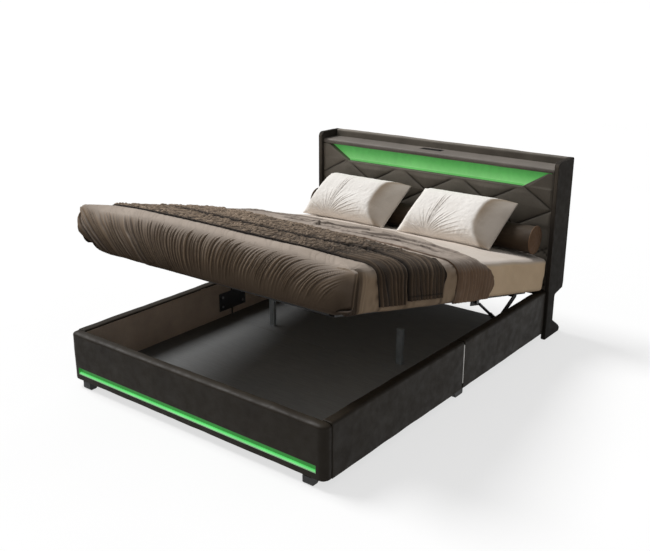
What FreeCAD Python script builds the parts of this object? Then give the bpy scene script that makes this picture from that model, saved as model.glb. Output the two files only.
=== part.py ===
import FreeCAD, Part
import math
import os

# Storage bed with a lifting platform, millimetres.
# X runs across the bed, Y from the footboard to the headboard, Z up from the floor.
# Pieces are drawn with Y measured from the face of the footboard and centred at the end.

# Overall frame
bed_length = 2245.0
rail_width = 1640.0
frame_bottom = 40.0
frame_height = 257.0
rail_thickness = 55.0
rail_top_round = 12.0
rail_low_round = 5.0
frame_top = frame_bottom + frame_height
rail_outer = rail_width / 2
rail_inner = rail_outer - rail_thickness

# Footboard
foot_thickness = 50.0
foot_padding = 16.0
foot_corner_round = 40.0
foot_top_round = 14.0
foot_back_round = 6.0

# Light channel in the footboard
foot_light_end_gap = 47.0
foot_light_half = rail_outer - foot_light_end_gap
foot_light_low = 73.6
foot_light_high = 110.0
foot_light_depth = 14.0
channel_wall = 1.5
foot_strip_height = 7.0
foot_strip_depth = 8.0

# Bolts and corner brackets
bolt_radius = 4.0
bolt_head_radius = 8.0
bolt_head_height = 4.0
bolt_length = 24.0
bolt_inset = 26.0
corner_leg = 70.0
corner_height = 140.0
corner_low = 100.0
corner_thickness = 4.0

# Headboard
head_depth = 201.0
head_front = bed_length - head_depth
head_height = 1043.0
head_overhang = 15.0
head_outer = rail_outer + head_overhang
side_thickness = 27.0
head_inner = head_outer - side_thickness
side_round = 30.0
quilt_set_back = 21.0
quilt_front = head_front + quilt_set_back
quilt_thickness = 35.0
quilt_back = quilt_front + quilt_thickness
quilt_rise = 3.0
quilt_low = frame_top + quilt_rise
shelf_drop = 43.0
shelf_top = head_height - shelf_drop
shelf_thickness = 30.0
shelf_nose_set_back = 18.0
shelf_nose_y = head_front + shelf_nose_set_back
top_rail_depth = 40.0
top_rail_height = 143.0
top_rail_low = head_height - top_rail_height
back_board_thickness = 18.0
box_low = 256.0
box_low_rear = 274.0
box_board_thickness = 18.0
leg_cut_depth = 108.0
leg_rear = bed_length - leg_cut_depth
leg_foot_round = 8.0
toe_top = 100.0
toe_nose = 45.0
stud_width = 40.0
stud_depth = 60.0
stud_half_spacing = 400.0

# Rail joints
rail_rear_length = 926.0
rail_split = head_front - rail_rear_length
joint_trim_width = 7.0
joint_trim_low = 74.0
joint_trim_high = 291.0
joint_trim_depth = 3.0
joint_plate_length = 220.0
joint_plate_height = 110.0
joint_plate_thickness = 3.0
joint_plate_low = 110.0

# Light recess in the headboard
recess_drop = 8.0
recess_height = 86.0
recess_side_gap = 56.0
recess_slope = 141.0
recess_top = shelf_top - shelf_thickness - recess_drop
recess_low = recess_top - recess_height
recess_top_half = head_inner - recess_side_gap
recess_low_half = recess_top_half - recess_slope
light_board_thickness = 12.0
light_board_margin = 14.0
head_strip_height = 8.0
head_strip_depth = 10.0

# Socket in the shelf
socket_x = -37.0
socket_length = 150.0
socket_width = 54.0
socket_plate_height = 2.0
socket_box_depth = 26.0
socket_wall = 2.0
button_radius = 8.0
button_height = 4.0
button_travel = 1.5
button_clearance = 0.5
button_x_share = 0.36

# Floor of the storage box
floor_low = 60.0
floor_thickness = 12.0
floor_gap = 2.0
floor_split_lead = 71.0
floor_split = rail_split - floor_split_lead
beam_width = 40.0
beam_y_shares = (0.18, 0.5, 0.82)
ledge_width = 20.0
centre_leg_radius = 20.0
centre_leg_x_share = 0.5

# Feet
foot_block_inset = 96.0
foot_block_x = rail_outer - foot_block_inset
foot_block_width = 50.0
foot_block_front = 4.0
foot_block_depth = 46.0
mid_foot_inset = 30.0
mid_foot_x = rail_outer - mid_foot_inset
mid_foot_width = 23.0
mid_foot_set_forward = 4.0
mid_foot_y = rail_split - mid_foot_set_forward
mid_foot_length = 76.0
foot_block_round = 12.0
mid_foot_round = 9.0

# Platform frame, drawn lying flat in the closed bed
platform_rise = 3.0
platform_level = frame_top + platform_rise
platform_side_gap = 43.0
platform_half = rail_inner - platform_side_gap
platform_front_gap = 120.0
platform_front = foot_thickness + platform_front_gap
platform_rear_gap = 39.0
platform_rear = head_front - platform_rear_gap
tube_height = 28.0
tube_width = 30.0
tube_wall = 2.0
slat_count = 13
slat_width = 68.0
slat_thickness = 12.0
slat_inset = 4.0
centre_rail_width = 40.0
post_x = 441.0
post_width = 34.0
post_thickness = 20.0
post_clearance = 1.0

# Lift mechanism, drawn in the closed bed
lift_angle = 12.7
lift_pin_set_forward = 210.0
lift_pin_y = platform_rear - lift_pin_set_forward
lift_pin_drop = 20.0
arm_length = 320.0
arm_closed_angle = 14.3
arm_turn_share = 0.84
arm_width = 30.0
arm_thickness = 6.0
arm_rail_gap = 9.0
arm_x = rail_inner - arm_rail_gap
arm_gap = 1.5
pin_radius = 6.0
pin_clearance = 0.06
pin_head_radius = 11.0
pin_head_thickness = 4.0
bracket_thickness = 4.0
strut_rail_gap = 27.0
strut_x = rail_inner - strut_rail_gap
strut_base_set_back = 14.0
strut_base_y = lift_pin_y + strut_base_set_back
strut_base_rise = 16.0
strut_base_z = floor_low + floor_thickness + strut_base_rise
strut_radius = 11.0
rod_radius = 7.5
rod_neck_radius = 5.0
rod_neck_length = 22.0
rod_clearance = 0.08
eye_radius = 12.0
eye_thickness = 10.0
strut_pin_radius = 5.0
strut_upper_reach = 409.0
strut_pin_drop = 34.0
slot_run_back = 13.2
slot_run_up = 18.3
slot_clearance = 3.6
slot_plate_thickness = 7.0
slot_plate_length = 84.0
slot_plate_margin = 14.0
cylinder_length = 350.0
rod_inside_share = 0.45

# Mattress and bedding, drawn lying flat
soft_gap = 0.4
mattress_front_overhang = 65.0
mattress_front = platform_front - mattress_front_overhang
mattress_rear_overhang = 23.0
mattress_rear = platform_rear + mattress_rear_overhang
mattress_side_overhang = 80.0
mattress_half = platform_half + mattress_side_overhang
mattress_height = 186.0
mattress_crown = 26.0
mattress_bulge = 6.0
end_draw_in = 26.0
end_run = 60.0
duvet_thickness = 20.0
sheet_showing = 615.0
duvet_rear = mattress_rear - sheet_showing
duvet_fold_count = 13
duvet_fold_radius = 34.0
duvet_fold_proud = 6.0
runner_width = 640.0
runner_rear_gap = 508.0
runner_rear = duvet_rear - runner_rear_gap
runner_front = runner_rear - runner_width
runner_thickness = 10.0
runner_drop = 150.0
blanket_width = 498.0
blanket_front = duvet_rear - blanket_width
blanket_thickness = 9.0
pillow_width = 610.0
pillow_height = 328.0
pillow_front_thick = 70.0
pillow_back_thick = 38.0
pillow_edge_half = 5.0
pillow_draw_in = 12.0
pillow_x = 312.0
pillow_left_x = -372.0
pillow_foot_set_forward = 343.0
pillow_foot_y = mattress_rear - pillow_foot_set_forward
pillow_lean = 38.3
pillow_station_shares = (0.0, 0.12, 0.4, 0.75, 0.93, 1.0)
pillow_thick_shares = (1.0, 0.99, 0.88, 0.56, 0.3, 0.0)
bolster_radius = 78.0
bolster_end_gap = 34.0
bolster_half = mattress_half - bolster_end_gap
bolster_set_forward = 120.0
bolster_y = mattress_rear - bolster_set_forward
bolster_round = 14.0

# Reach of cutting tools past a face
overrun = 20.0


def vec(x, y, z):
    return FreeCAD.Vector(x, y, z)


def box(x0, x1, y0, y1, z0, z1):
    return Part.makeBox(x1 - x0, y1 - y0, z1 - z0, vec(x0, y0, z0))


def mirrored(shape):
    return shape.mirror(vec(0, 0, 0), vec(1, 0, 0))


def side_box(side, x0, x1, y0, y1, z0, z1):
    shape = box(x0, x1, y0, y1, z0, z1)
    return shape if side > 0 else mirrored(shape)


def cylinder_x(radius, x0, x1, y, z):
    return Part.makeCylinder(radius, x1 - x0, vec(x0, y, z), vec(1, 0, 0))


def round_edges(shape, radius, wanted):
    edges = [edge for edge in shape.Edges if wanted(edge.BoundBox)]
    return shape.makeFillet(radius, edges)


def near(a, b):
    return abs(a - b) < soft_gap


def tube_along_y(x0, x1, y0, y1, z0, z1):
    hollow = box(x0 + tube_wall, x1 - tube_wall, y0 - overrun, y1 + overrun, z0 + tube_wall, z1 - tube_wall)
    return box(x0, x1, y0, y1, z0, z1).cut(hollow)


def tube_along_x(x0, x1, y0, y1, z0, z1):
    hollow = box(x0 - overrun, x1 + overrun, y0 + tube_wall, y1 - tube_wall, z0 + tube_wall, z1 - tube_wall)
    return box(x0, x1, y0, y1, z0, z1).cut(hollow)


def prism_x(points, x0, x1):
    ring = [vec(x0, y, z) for y, z in points]
    face = Part.Face(Part.makePolygon(ring + ring[:1]))
    return face.extrude(vec(x1 - x0, 0, 0))


def prism_y(points, y0, y1):
    ring = [vec(x, y0, z) for x, z in points]
    face = Part.Face(Part.makePolygon(ring + ring[:1]))
    return face.extrude(vec(0, y1 - y0, 0))


def save(name, shape):
    moved = shape.copy()
    moved.translate(vec(0, -bed_length / 2, 0))
    moved.exportStep("parts/" + name + ".step")


# Footboard: a board inside a padded cover with a light channel in its face.

def footboard_core():
    return box(-rail_outer + foot_padding, rail_outer - foot_padding, foot_padding,
               foot_thickness - foot_padding, frame_bottom, frame_top - foot_padding)


def footboard_cover():
    shape = box(-rail_outer, rail_outer, 0, foot_thickness, frame_bottom, frame_top)
    shape = round_edges(shape, foot_corner_round,
                        lambda b: near(b.YMax, 0) and near(b.ZLength, frame_height))
    shape = round_edges(shape, foot_top_round,
                        lambda b: near(b.ZMin, frame_top) and b.YMax < foot_thickness - soft_gap)
    shape = round_edges(shape, foot_back_round,
                        lambda b: near(b.ZMin, frame_top) and near(b.YMin, foot_thickness))
    channel = box(-foot_light_half, foot_light_half, -overrun, foot_light_depth,
                  foot_light_low, foot_light_high)
    return shape.cut(footboard_core()).cut(channel)


def footboard_light_channel():
    outer = box(-foot_light_half, foot_light_half, 0, foot_light_depth, foot_light_low, foot_light_high)
    inner = box(-foot_light_half + channel_wall, foot_light_half - channel_wall, -overrun,
                foot_light_depth - channel_wall, foot_light_low + channel_wall,
                foot_light_high - channel_wall)
    return outer.cut(inner)


def footboard_light_strip():
    back = foot_light_depth - channel_wall
    low = foot_light_low + channel_wall
    return box(-foot_light_half + channel_wall, foot_light_half - channel_wall,
               back - foot_strip_depth, back, low, low + foot_strip_height)


# Side rails in two lengths, with a metal trim and a steel plate at each joint.

def side_rail(side, y0, y1):
    shape = box(rail_inner, rail_outer, y0, y1, frame_bottom, frame_top)
    shape = round_edges(shape, rail_top_round,
                        lambda b: near(b.XMin, rail_outer) and near(b.ZMin, frame_top))
    shape = round_edges(shape, rail_top_round,
                        lambda b: near(b.XMax, rail_inner) and near(b.ZMin, frame_top))
    shape = round_edges(shape, rail_low_round,
                        lambda b: near(b.XMin, rail_outer) and near(b.ZMax, frame_bottom))
    return shape if side > 0 else mirrored(shape)


def rail_joint_trims():
    trims = []
    for side in (1, -1):
        trims.append(side_box(side, rail_outer - joint_trim_depth, rail_outer,
                              rail_split - joint_trim_width, rail_split,
                              joint_trim_low, joint_trim_high - rail_top_round))
    return Part.makeCompound(trims)


def trim_slot(side):
    return side_box(side, rail_outer - joint_trim_depth, rail_outer + overrun,
                    rail_split - joint_trim_width, rail_split + overrun,
                    joint_trim_low, joint_trim_high - rail_top_round)


def rail_joint_plates():
    plates = []
    half = joint_plate_length / 2
    for side in (1, -1):
        plates.append(side_box(side, rail_inner - joint_plate_thickness, rail_inner,
                               rail_split - half, rail_split + half,
                               joint_plate_low, joint_plate_low + joint_plate_height))
    return Part.makeCompound(plates)


def joint_bolt_places():
    places = []
    half = joint_plate_length / 2 - bolt_inset
    for y in (rail_split - half, rail_split + half):
        for z in (joint_plate_low + bolt_inset, joint_plate_low + joint_plate_height - bolt_inset):
            places.append((y, z))
    return places


def corner_bolt_heights():
    return (corner_low + bolt_inset, corner_low + corner_height - bolt_inset)


def frame_bolts():
    bolts = []
    for side in (1, -1):
        for y, z in joint_bolt_places():
            bolts.append(inside_bolt(side, rail_inner - joint_plate_thickness, y, z))
        for z in corner_bolt_heights():
            bolts.append(inside_bolt(side, rail_inner - corner_thickness,
                                     foot_thickness + corner_leg / 2, z))
            bolts.append(inside_bolt(side, rail_inner - corner_thickness,
                                     head_front - corner_leg / 2, z))
    return Part.makeCompound(bolts)


def inside_bolt(side, face_x, y, z):
    head = cylinder_x(bolt_head_radius, face_x - bolt_head_height, face_x, y, z)
    shank = cylinder_x(bolt_radius, face_x, face_x + bolt_length, y, z)
    shape = head.fuse(shank)
    return shape if side > 0 else mirrored(shape)


def bolt_holes(side, places, depth_from):
    holes = []
    for y, z in places:
        hole = cylinder_x(bolt_radius, depth_from - overrun, depth_from + bolt_length, y, z)
        holes.append(hole if side > 0 else mirrored(hole))
    return Part.makeCompound(holes)


def front_corner_brackets():
    brackets = []
    for side in (1, -1):
        long_leg = box(rail_inner - corner_thickness, rail_inner, foot_thickness,
                       foot_thickness + corner_leg, corner_low, corner_low + corner_height)
        short_leg = box(rail_inner - corner_leg, rail_inner, foot_thickness,
                        foot_thickness + corner_thickness, corner_low, corner_low + corner_height)
        shape = long_leg.fuse(short_leg).removeSplitter()
        shape = shape if side > 0 else mirrored(shape)
        places = [(foot_thickness + corner_leg / 2, z) for z in corner_bolt_heights()]
        brackets.append(shape.cut(bolt_holes(side, places, rail_inner - corner_thickness)))
    return Part.makeCompound(brackets)


def head_corner_brackets():
    brackets = []
    for side in (1, -1):
        long_leg = box(rail_inner - corner_thickness, rail_inner, head_front - corner_leg,
                       head_front, corner_low, corner_low + corner_height)
        wing = box(rail_inner - corner_thickness, head_inner, head_front,
                   head_front + corner_thickness, corner_low, corner_low + corner_height)
        lip = box(head_inner - corner_thickness, head_inner, head_front,
                  head_front + corner_leg, corner_low, corner_low + corner_height)
        shape = long_leg.fuse(wing).fuse(lip).removeSplitter()
        shape = shape if side > 0 else mirrored(shape)
        places = [(head_front - corner_leg / 2, z) for z in corner_bolt_heights()]
        brackets.append(shape.cut(bolt_holes(side, places, rail_inner - corner_thickness)))
    return Part.makeCompound(brackets)


def all_rail_bolt_holes(side):
    holes = bolt_holes(side, joint_bolt_places(), rail_inner - joint_plate_thickness)
    front = [(foot_thickness + corner_leg / 2, z) for z in corner_bolt_heights()]
    rear = [(head_front - corner_leg / 2, z) for z in corner_bolt_heights()]
    corners = bolt_holes(side, front + rear, rail_inner - corner_thickness)
    return Part.makeCompound([holes, corners])


# Floor of the box on ledges and cross beams, with legs under the middle.

def floor_ledges():
    ledges = []
    for side in (1, -1):
        ledges.append(side_box(side, rail_inner - ledge_width, rail_inner, foot_thickness,
                               head_front, frame_bottom, floor_low))
    return Part.makeCompound(ledges)


def beam_places():
    return [foot_thickness + (head_front - foot_thickness) * share for share in beam_y_shares]


def cross_beams():
    reach = rail_inner - ledge_width
    beams = []
    for y in beam_places():
        beams.append(box(-reach, reach, y - beam_width / 2, y + beam_width / 2, frame_bottom, floor_low))
    return Part.makeCompound(beams)


def centre_legs():
    legs = []
    for y in beam_places():
        for side in (1, -1):
            x = side * rail_inner * centre_leg_x_share
            legs.append(Part.makeCylinder(centre_leg_radius, frame_bottom, vec(x, y, 0)))
    return Part.makeCompound(legs)


def floor_panel(y0, y1):
    return box(-rail_inner, rail_inner, y0, y1, floor_low, floor_low + floor_thickness)


def platform_posts():
    low = floor_low + floor_thickness
    high = platform_level - tube_height - post_clearance
    posts = []
    for side in (1, -1):
        posts.append(side_box(side, post_x - post_width / 2, post_x + post_width / 2,
                              rail_split - post_thickness / 2, rail_split + post_thickness / 2,
                              low, high))
    return Part.makeCompound(posts)


# Feet

def rounded_foot(x, width, y0, depth, radius):
    shape = box(x - width / 2, x + width / 2, y0, y0 + depth, 0, frame_bottom)
    return round_edges(shape, radius, lambda b: near(b.ZMax, 0) and b.XLength > soft_gap)


def front_foot(side):
    shape = rounded_foot(foot_block_x, foot_block_width, foot_block_front, foot_block_depth,
                         foot_block_round)
    return shape if side > 0 else mirrored(shape)


def mid_foot(side):
    shape = rounded_foot(mid_foot_x, mid_foot_width, mid_foot_y - mid_foot_length / 2,
                         mid_foot_length, mid_foot_round)
    return shape if side > 0 else mirrored(shape)


# Headboard

def headboard_side(side):
    outline = [(head_front, 0), (head_front, head_height), (bed_length, head_height),
               (bed_length, box_low_rear + side_round), (bed_length - leg_foot_round, box_low_rear),
               (leg_rear, box_low), (leg_rear, toe_top), (bed_length - toe_nose / 2, toe_nose),
               (bed_length, toe_nose / 2), (bed_length - leg_foot_round, 0)]
    shape = prism_x(outline, head_inner, head_outer)
    shape = round_edges(shape, side_round,
                        lambda b: near(b.ZMin, head_height) and near(b.YMax, head_front))
    shape = round_edges(shape, leg_foot_round,
                        lambda b: near(b.ZMax, 0) and near(b.YMax, head_front))
    return shape if side > 0 else mirrored(shape)


def recess_outline():
    return [(-recess_top_half, recess_top), (-recess_low_half, recess_low),
            (recess_low_half, recess_low), (recess_top_half, recess_top)]


def headboard_quilt():
    high = shelf_top - shelf_thickness
    shape = box(-head_inner, head_inner, quilt_front, quilt_back, quilt_low, high)
    recess = prism_y(recess_outline(), quilt_front - overrun, quilt_back + overrun)
    return shape.cut(recess)


def headboard_light_board():
    return box(-recess_top_half - light_board_margin, recess_top_half + light_board_margin,
               quilt_back, quilt_back + light_board_thickness,
               recess_low - light_board_margin, shelf_top - shelf_thickness)


def headboard_light_strip():
    return box(-recess_low_half, recess_low_half, quilt_back - head_strip_depth, quilt_back,
               recess_low, recess_low + head_strip_height)


def headboard_lower_board():
    return box(-head_inner, head_inner, quilt_front, quilt_back, box_low, quilt_low)


def socket_box_place():
    return (quilt_back + bed_length - top_rail_depth) / 2


def headboard_shelf():
    rear = bed_length - top_rail_depth
    shape = box(-head_inner, head_inner, shelf_nose_y, rear, shelf_top - shelf_thickness, shelf_top)
    nose = shelf_thickness / 2 - soft_gap
    shape = round_edges(shape, nose, lambda b: near(b.YMax, shelf_nose_y) and b.XLength > overrun)
    y = socket_box_place()
    hole = box(socket_x - socket_length / 2, socket_x + socket_length / 2, y - socket_width / 2,
               y + socket_width / 2, shelf_top - shelf_thickness - overrun, shelf_top + overrun)
    return shape.cut(hole)


def headboard_top_rail():
    shape = box(-head_inner, head_inner, bed_length - top_rail_depth, bed_length,
                top_rail_low, head_height)
    return round_edges(shape, rail_low_round,
                       lambda b: near(b.ZMin, head_height) and b.XLength > overrun)


def headboard_back_board():
    return box(-head_inner, head_inner, bed_length - back_board_thickness, bed_length,
               box_low_rear, top_rail_low)


def headboard_base_board():
    return box(-head_inner, head_inner, quilt_back, bed_length - back_board_thickness,
               box_low_rear, box_low_rear + box_board_thickness)


def headboard_studs():
    low = box_low_rear + box_board_thickness
    high = top_rail_low
    studs = []
    for step in (-1, 0, 1):
        x = step * stud_half_spacing
        rear = bed_length - back_board_thickness
        studs.append(box(x - stud_width / 2, x + stud_width / 2, rear - stud_depth, rear, low, high))
    return Part.makeCompound(studs)


# Socket: a box let into the shelf, its plate, and a push button for the lights.

def socket_button_x():
    return socket_x + socket_length * button_x_share


def socket_box():
    y = socket_box_place()
    outer = box(socket_x - socket_length / 2, socket_x + socket_length / 2, y - socket_width / 2,
                y + socket_width / 2, shelf_top - socket_box_depth, shelf_top - socket_plate_height)
    inner = box(socket_x - socket_length / 2 + socket_wall, socket_x + socket_length / 2 - socket_wall,
                y - socket_width / 2 + socket_wall, y + socket_width / 2 - socket_wall,
                shelf_top - socket_box_depth + socket_wall, shelf_top)
    boss_low = shelf_top - socket_box_depth + socket_wall
    button_low = shelf_top - socket_plate_height - button_height
    boss_high = button_low - button_travel - button_clearance
    boss = Part.makeCylinder(button_radius, boss_high - boss_low, vec(socket_button_x(), y, boss_low))
    return outer.cut(inner).fuse(boss)


def socket_plate():
    y = socket_box_place()
    plate = box(socket_x - socket_length / 2, socket_x + socket_length / 2, y - socket_width / 2,
                y + socket_width / 2, shelf_top - socket_plate_height, shelf_top)
    hole = Part.makeCylinder(button_radius + button_clearance, overrun,
                             vec(socket_button_x(), y, shelf_top - overrun / 2))
    return plate.cut(hole)


def light_button():
    low = shelf_top - socket_plate_height - button_height
    high = shelf_top + button_travel + button_clearance
    return Part.makeCylinder(button_radius, high - low, vec(socket_button_x(), socket_box_place(), low))


# Lift geometry: the arm carries the platform pin, and the whole platform tilts about it.

def arm_root():
    turn = math.radians(arm_closed_angle)
    return (lift_pin_y - arm_length * math.cos(turn),
            platform_level - lift_pin_drop - arm_length * math.sin(turn))


def arm_tip(lift):
    turn = math.radians(arm_closed_angle + arm_turn_share * lift)
    y, z = arm_root()
    return (y + arm_length * math.cos(turn), z + arm_length * math.sin(turn))


def lifted(shape):
    moved = shape.copy()
    closed = arm_tip(0)
    opened = arm_tip(lift_angle)
    moved.rotate(vec(0, closed[0], closed[1]), vec(1, 0, 0), -lift_angle)
    moved.translate(vec(0, opened[0] - closed[0], opened[1] - closed[1]))
    return moved


def lifted_point(y, z):
    turn = math.radians(lift_angle)
    closed = arm_tip(0)
    opened = arm_tip(lift_angle)
    dy = y - closed[0]
    dz = z - closed[1]
    return (opened[0] + dy * math.cos(turn) + dz * math.sin(turn),
            opened[1] - dy * math.sin(turn) + dz * math.cos(turn))


def strut_top_closed():
    return (lift_pin_y - strut_upper_reach, platform_level - strut_pin_drop)


def rail_bracket(side):
    y, z = arm_root()
    plate = prism_x([(y - arm_width, z - arm_width), (y - arm_width, z + arm_width),
                     (y + arm_width, z + arm_width), (strut_base_y + arm_width, strut_base_z + arm_width),
                     (strut_base_y + arm_width, floor_low + floor_thickness + soft_gap),
                     (y + arm_width, floor_low + floor_thickness + soft_gap)],
                    rail_inner - bracket_thickness, rail_inner)
    arm_low = arm_x - arm_thickness / 2
    arm_stud = cylinder_x(pin_radius, arm_low - arm_gap, rail_inner - soft_gap, y, z)
    arm_head = cylinder_x(pin_head_radius, arm_low - arm_gap - pin_head_thickness,
                          arm_low - arm_gap, y, z)
    strut_low = strut_x - eye_thickness / 2
    strut_stud = cylinder_x(pin_radius, strut_low - arm_gap, rail_inner - soft_gap,
                            strut_base_y, strut_base_z)
    strut_head = cylinder_x(pin_head_radius, strut_low - arm_gap - pin_head_thickness,
                            strut_low - arm_gap, strut_base_y, strut_base_z)
    shape = plate.fuse([arm_stud, arm_head, strut_stud, strut_head]).removeSplitter()
    return shape if side > 0 else mirrored(shape)


def bar_between(y0, z0, y1, z1, width, x0, x1):
    angle = math.atan2(z1 - z0, y1 - y0)
    oy = -math.sin(angle) * width / 2
    oz = math.cos(angle) * width / 2
    body = prism_x([(y0 + oy, z0 + oz), (y1 + oy, z1 + oz), (y1 - oy, z1 - oz), (y0 - oy, z0 - oz)],
                   x0, x1)
    ends = [cylinder_x(width / 2, x0, x1, y0, z0), cylinder_x(width / 2, x0, x1, y1, z1)]
    return body.fuse(ends).removeSplitter()


def lift_arm(side):
    y0, z0 = arm_root()
    y1, z1 = arm_tip(lift_angle)
    x0 = arm_x - arm_thickness / 2
    x1 = arm_x + arm_thickness / 2
    shape = bar_between(y0, z0, y1, z1, arm_width, x0, x1)
    for y, z in ((y0, z0), (y1, z1)):
        shape = shape.cut(cylinder_x(pin_radius + pin_clearance, x0 - overrun, x1 + overrun, y, z))
    return shape if side > 0 else mirrored(shape)


def strut_axis():
    top = strut_top_closed()
    y, z = lifted_point(top[0], top[1])
    dy = y - strut_base_y
    dz = z - strut_base_z
    length = math.hypot(dy, dz)
    return (dy / length, dz / length, length)


def strut_cylinder(side):
    uy, uz, length = strut_axis()
    neck_start = eye_radius - arm_gap
    start = pin_head_radius + strut_radius
    neck = Part.makeCylinder(eye_thickness / 2, start - neck_start,
                             vec(strut_x, strut_base_y + uy * neck_start, strut_base_z + uz * neck_start),
                             vec(0, uy, uz))
    tube = Part.makeCylinder(strut_radius, cylinder_length - start,
                             vec(strut_x, strut_base_y + uy * start, strut_base_z + uz * start),
                             vec(0, uy, uz))
    bore_start = start + strut_radius
    bore = Part.makeCylinder(rod_radius + rod_clearance, cylinder_length,
                             vec(strut_x, strut_base_y + uy * bore_start, strut_base_z + uz * bore_start),
                             vec(0, uy, uz))
    eye = cylinder_x(eye_radius, strut_x - eye_thickness / 2, strut_x + eye_thickness / 2,
                     strut_base_y, strut_base_z)
    hole = cylinder_x(pin_radius + pin_clearance, strut_x - eye_radius, strut_x + eye_radius,
                      strut_base_y, strut_base_z)
    shape = tube.fuse([neck, eye]).cut(bore).cut(hole)
    return shape if side > 0 else mirrored(shape)


def strut_rod(side):
    uy, uz, length = strut_axis()
    inside = cylinder_length * rod_inside_share
    start = cylinder_length - inside
    neck_end = length - eye_radius + arm_gap
    neck_start = neck_end - rod_neck_length
    rod = Part.makeCylinder(rod_radius, neck_start - start,
                            vec(strut_x, strut_base_y + uy * start, strut_base_z + uz * start),
                            vec(0, uy, uz))
    neck = Part.makeCylinder(rod_neck_radius, rod_neck_length,
                             vec(strut_x, strut_base_y + uy * neck_start, strut_base_z + uz * neck_start),
                             vec(0, uy, uz))
    top_y = strut_base_y + uy * length
    top_z = strut_base_z + uz * length
    eye = cylinder_x(eye_radius, strut_x - eye_thickness / 2, strut_x + eye_thickness / 2, top_y, top_z)
    pin = cylinder_x(strut_pin_radius, platform_half + arm_gap / 2, strut_x, top_y, top_z)
    shape = rod.fuse([neck, eye, pin]).removeSplitter()
    return shape if side > 0 else mirrored(shape)


# Platform frame and slats, drawn flat and then lifted.

def slotted_plate():
    y, z = strut_top_closed()
    half = slot_plate_length / 2
    slot_width = 2 * (strut_pin_radius + slot_clearance)
    low = z - slot_width / 2 - slot_plate_margin
    plate = box(platform_half, platform_half + slot_plate_thickness, y - half, y + half,
                low, platform_level)
    slot = bar_between(y, z, y + slot_run_back, z + slot_run_up, slot_width,
                       platform_half - overrun, platform_half + slot_plate_thickness + overrun)
    return plate.cut(slot)


def platform_side(side):
    low = platform_level - tube_height
    tube = tube_along_y(platform_half - tube_width, platform_half, platform_front, platform_rear,
                        low, platform_level - slat_thickness)
    y, z = arm_tip(0)
    arm_high = arm_x + arm_thickness / 2
    pin = cylinder_x(pin_radius, platform_half - tube_wall, arm_high + arm_gap, y, z)
    collar = cylinder_x(pin_head_radius, platform_half - tube_wall,
                        arm_x - arm_thickness / 2 - arm_gap, y, z)
    shape = tube.fuse([slotted_plate(), pin, collar]).removeSplitter()
    return lifted(shape if side > 0 else mirrored(shape))


def platform_end(y0):
    low = platform_level - tube_height
    reach = platform_half - tube_width
    high = platform_level - slat_thickness
    return lifted(tube_along_x(-reach, reach, y0, y0 + tube_width, low, high))


def platform_centre_rail():
    low = platform_level - tube_height
    return lifted(tube_along_y(-centre_rail_width / 2, centre_rail_width / 2,
                               platform_front + tube_width, platform_rear - tube_width,
                               low, platform_level - slat_thickness))


def platform_cross_tube():
    low = platform_level - tube_height
    reach = platform_half - tube_width
    shapes = []
    for side in (1, -1):
        shape = tube_along_x(centre_rail_width / 2, reach, rail_split - tube_width / 2,
                             rail_split + tube_width / 2, low, platform_level - slat_thickness)
        shapes.append(shape if side > 0 else mirrored(shape))
    return lifted(Part.makeCompound(shapes))


def slats(side):
    first = platform_front + slat_width / 2
    last = platform_rear - slat_width / 2
    pieces = []
    for index in range(slat_count):
        y = first + (last - first) * index / (slat_count - 1)
        pieces.append(side_box(side, slat_inset, platform_half - slat_inset,
                               y - slat_width / 2, y + slat_width / 2,
                               platform_level - slat_thickness, platform_level))
    return lifted(Part.makeCompound(pieces))


# Soft goods: crowned sections lofted along the bed.

def soft_section(y, half, low, high, crown, bulge):
    mid = (low + high) / 2
    right = Part.Arc(vec(half, y, low), vec(half + bulge, y, mid), vec(half, y, high)).toShape()
    top = Part.Arc(vec(half, y, high), vec(0, y, high + crown), vec(-half, y, high)).toShape()
    left = Part.Arc(vec(-half, y, high), vec(-half - bulge, y, mid), vec(-half, y, low)).toShape()
    base = Part.makeLine(vec(-half, y, low), vec(half, y, low))
    return Part.Wire([right, top, left, base])


def soft_block(front, rear, half, low, high, crown, bulge, front_draw, rear_draw):
    stations = [(front, front_draw), (front + end_run / 3, front_draw / 4), (front + end_run, 0),
                (rear - end_run, 0), (rear - end_run / 3, rear_draw / 4), (rear, rear_draw)]
    wires = []
    for y, draw in stations:
        wires.append(soft_section(y, half - draw, low, high - draw, crown, bulge))
    return Part.makeLoft(wires, True, True)


def mattress_top():
    return platform_level + soft_gap + mattress_height


def mattress_flat():
    return soft_block(mattress_front, mattress_rear, mattress_half, platform_level + soft_gap,
                      mattress_top(), mattress_crown, mattress_bulge, end_draw_in, end_draw_in)


def layer(front, rear, offset, low, front_draw):
    # A straight band lying over the mattress, offset from its top and sides.
    return soft_block(front, rear, mattress_half + offset, low, mattress_top() + offset,
                      mattress_crown, mattress_bulge, front_draw, 0)


def duvet_hollow():
    core = soft_block(mattress_front - soft_gap, duvet_rear + overrun, mattress_half + soft_gap,
                      platform_level - overrun, mattress_top() + soft_gap, mattress_crown,
                      mattress_bulge + soft_gap, end_draw_in, 0)
    return core


def duvet_flat():
    front = mattress_front - duvet_thickness
    low = platform_level + soft_gap
    shape = layer(front, duvet_rear, duvet_thickness, low, end_draw_in)
    folds = []
    reach = mattress_half - end_draw_in - duvet_fold_radius
    for index in range(duvet_fold_count):
        x = -reach + 2 * reach * index / (duvet_fold_count - 1)
        y = front + duvet_fold_radius - duvet_fold_proud
        folds.append(Part.makeCylinder(duvet_fold_radius, mattress_height - end_draw_in,
                                       vec(x, y, low)))
    return shape.fuse(folds).cut(duvet_hollow())


def band_flat(front, rear, inner, thickness, low):
    outer = layer(front, rear, inner + thickness, low, 0)
    hollow = layer(front - end_run, rear + end_run, inner, platform_level - overrun, 0)
    return outer.cut(hollow)


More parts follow.
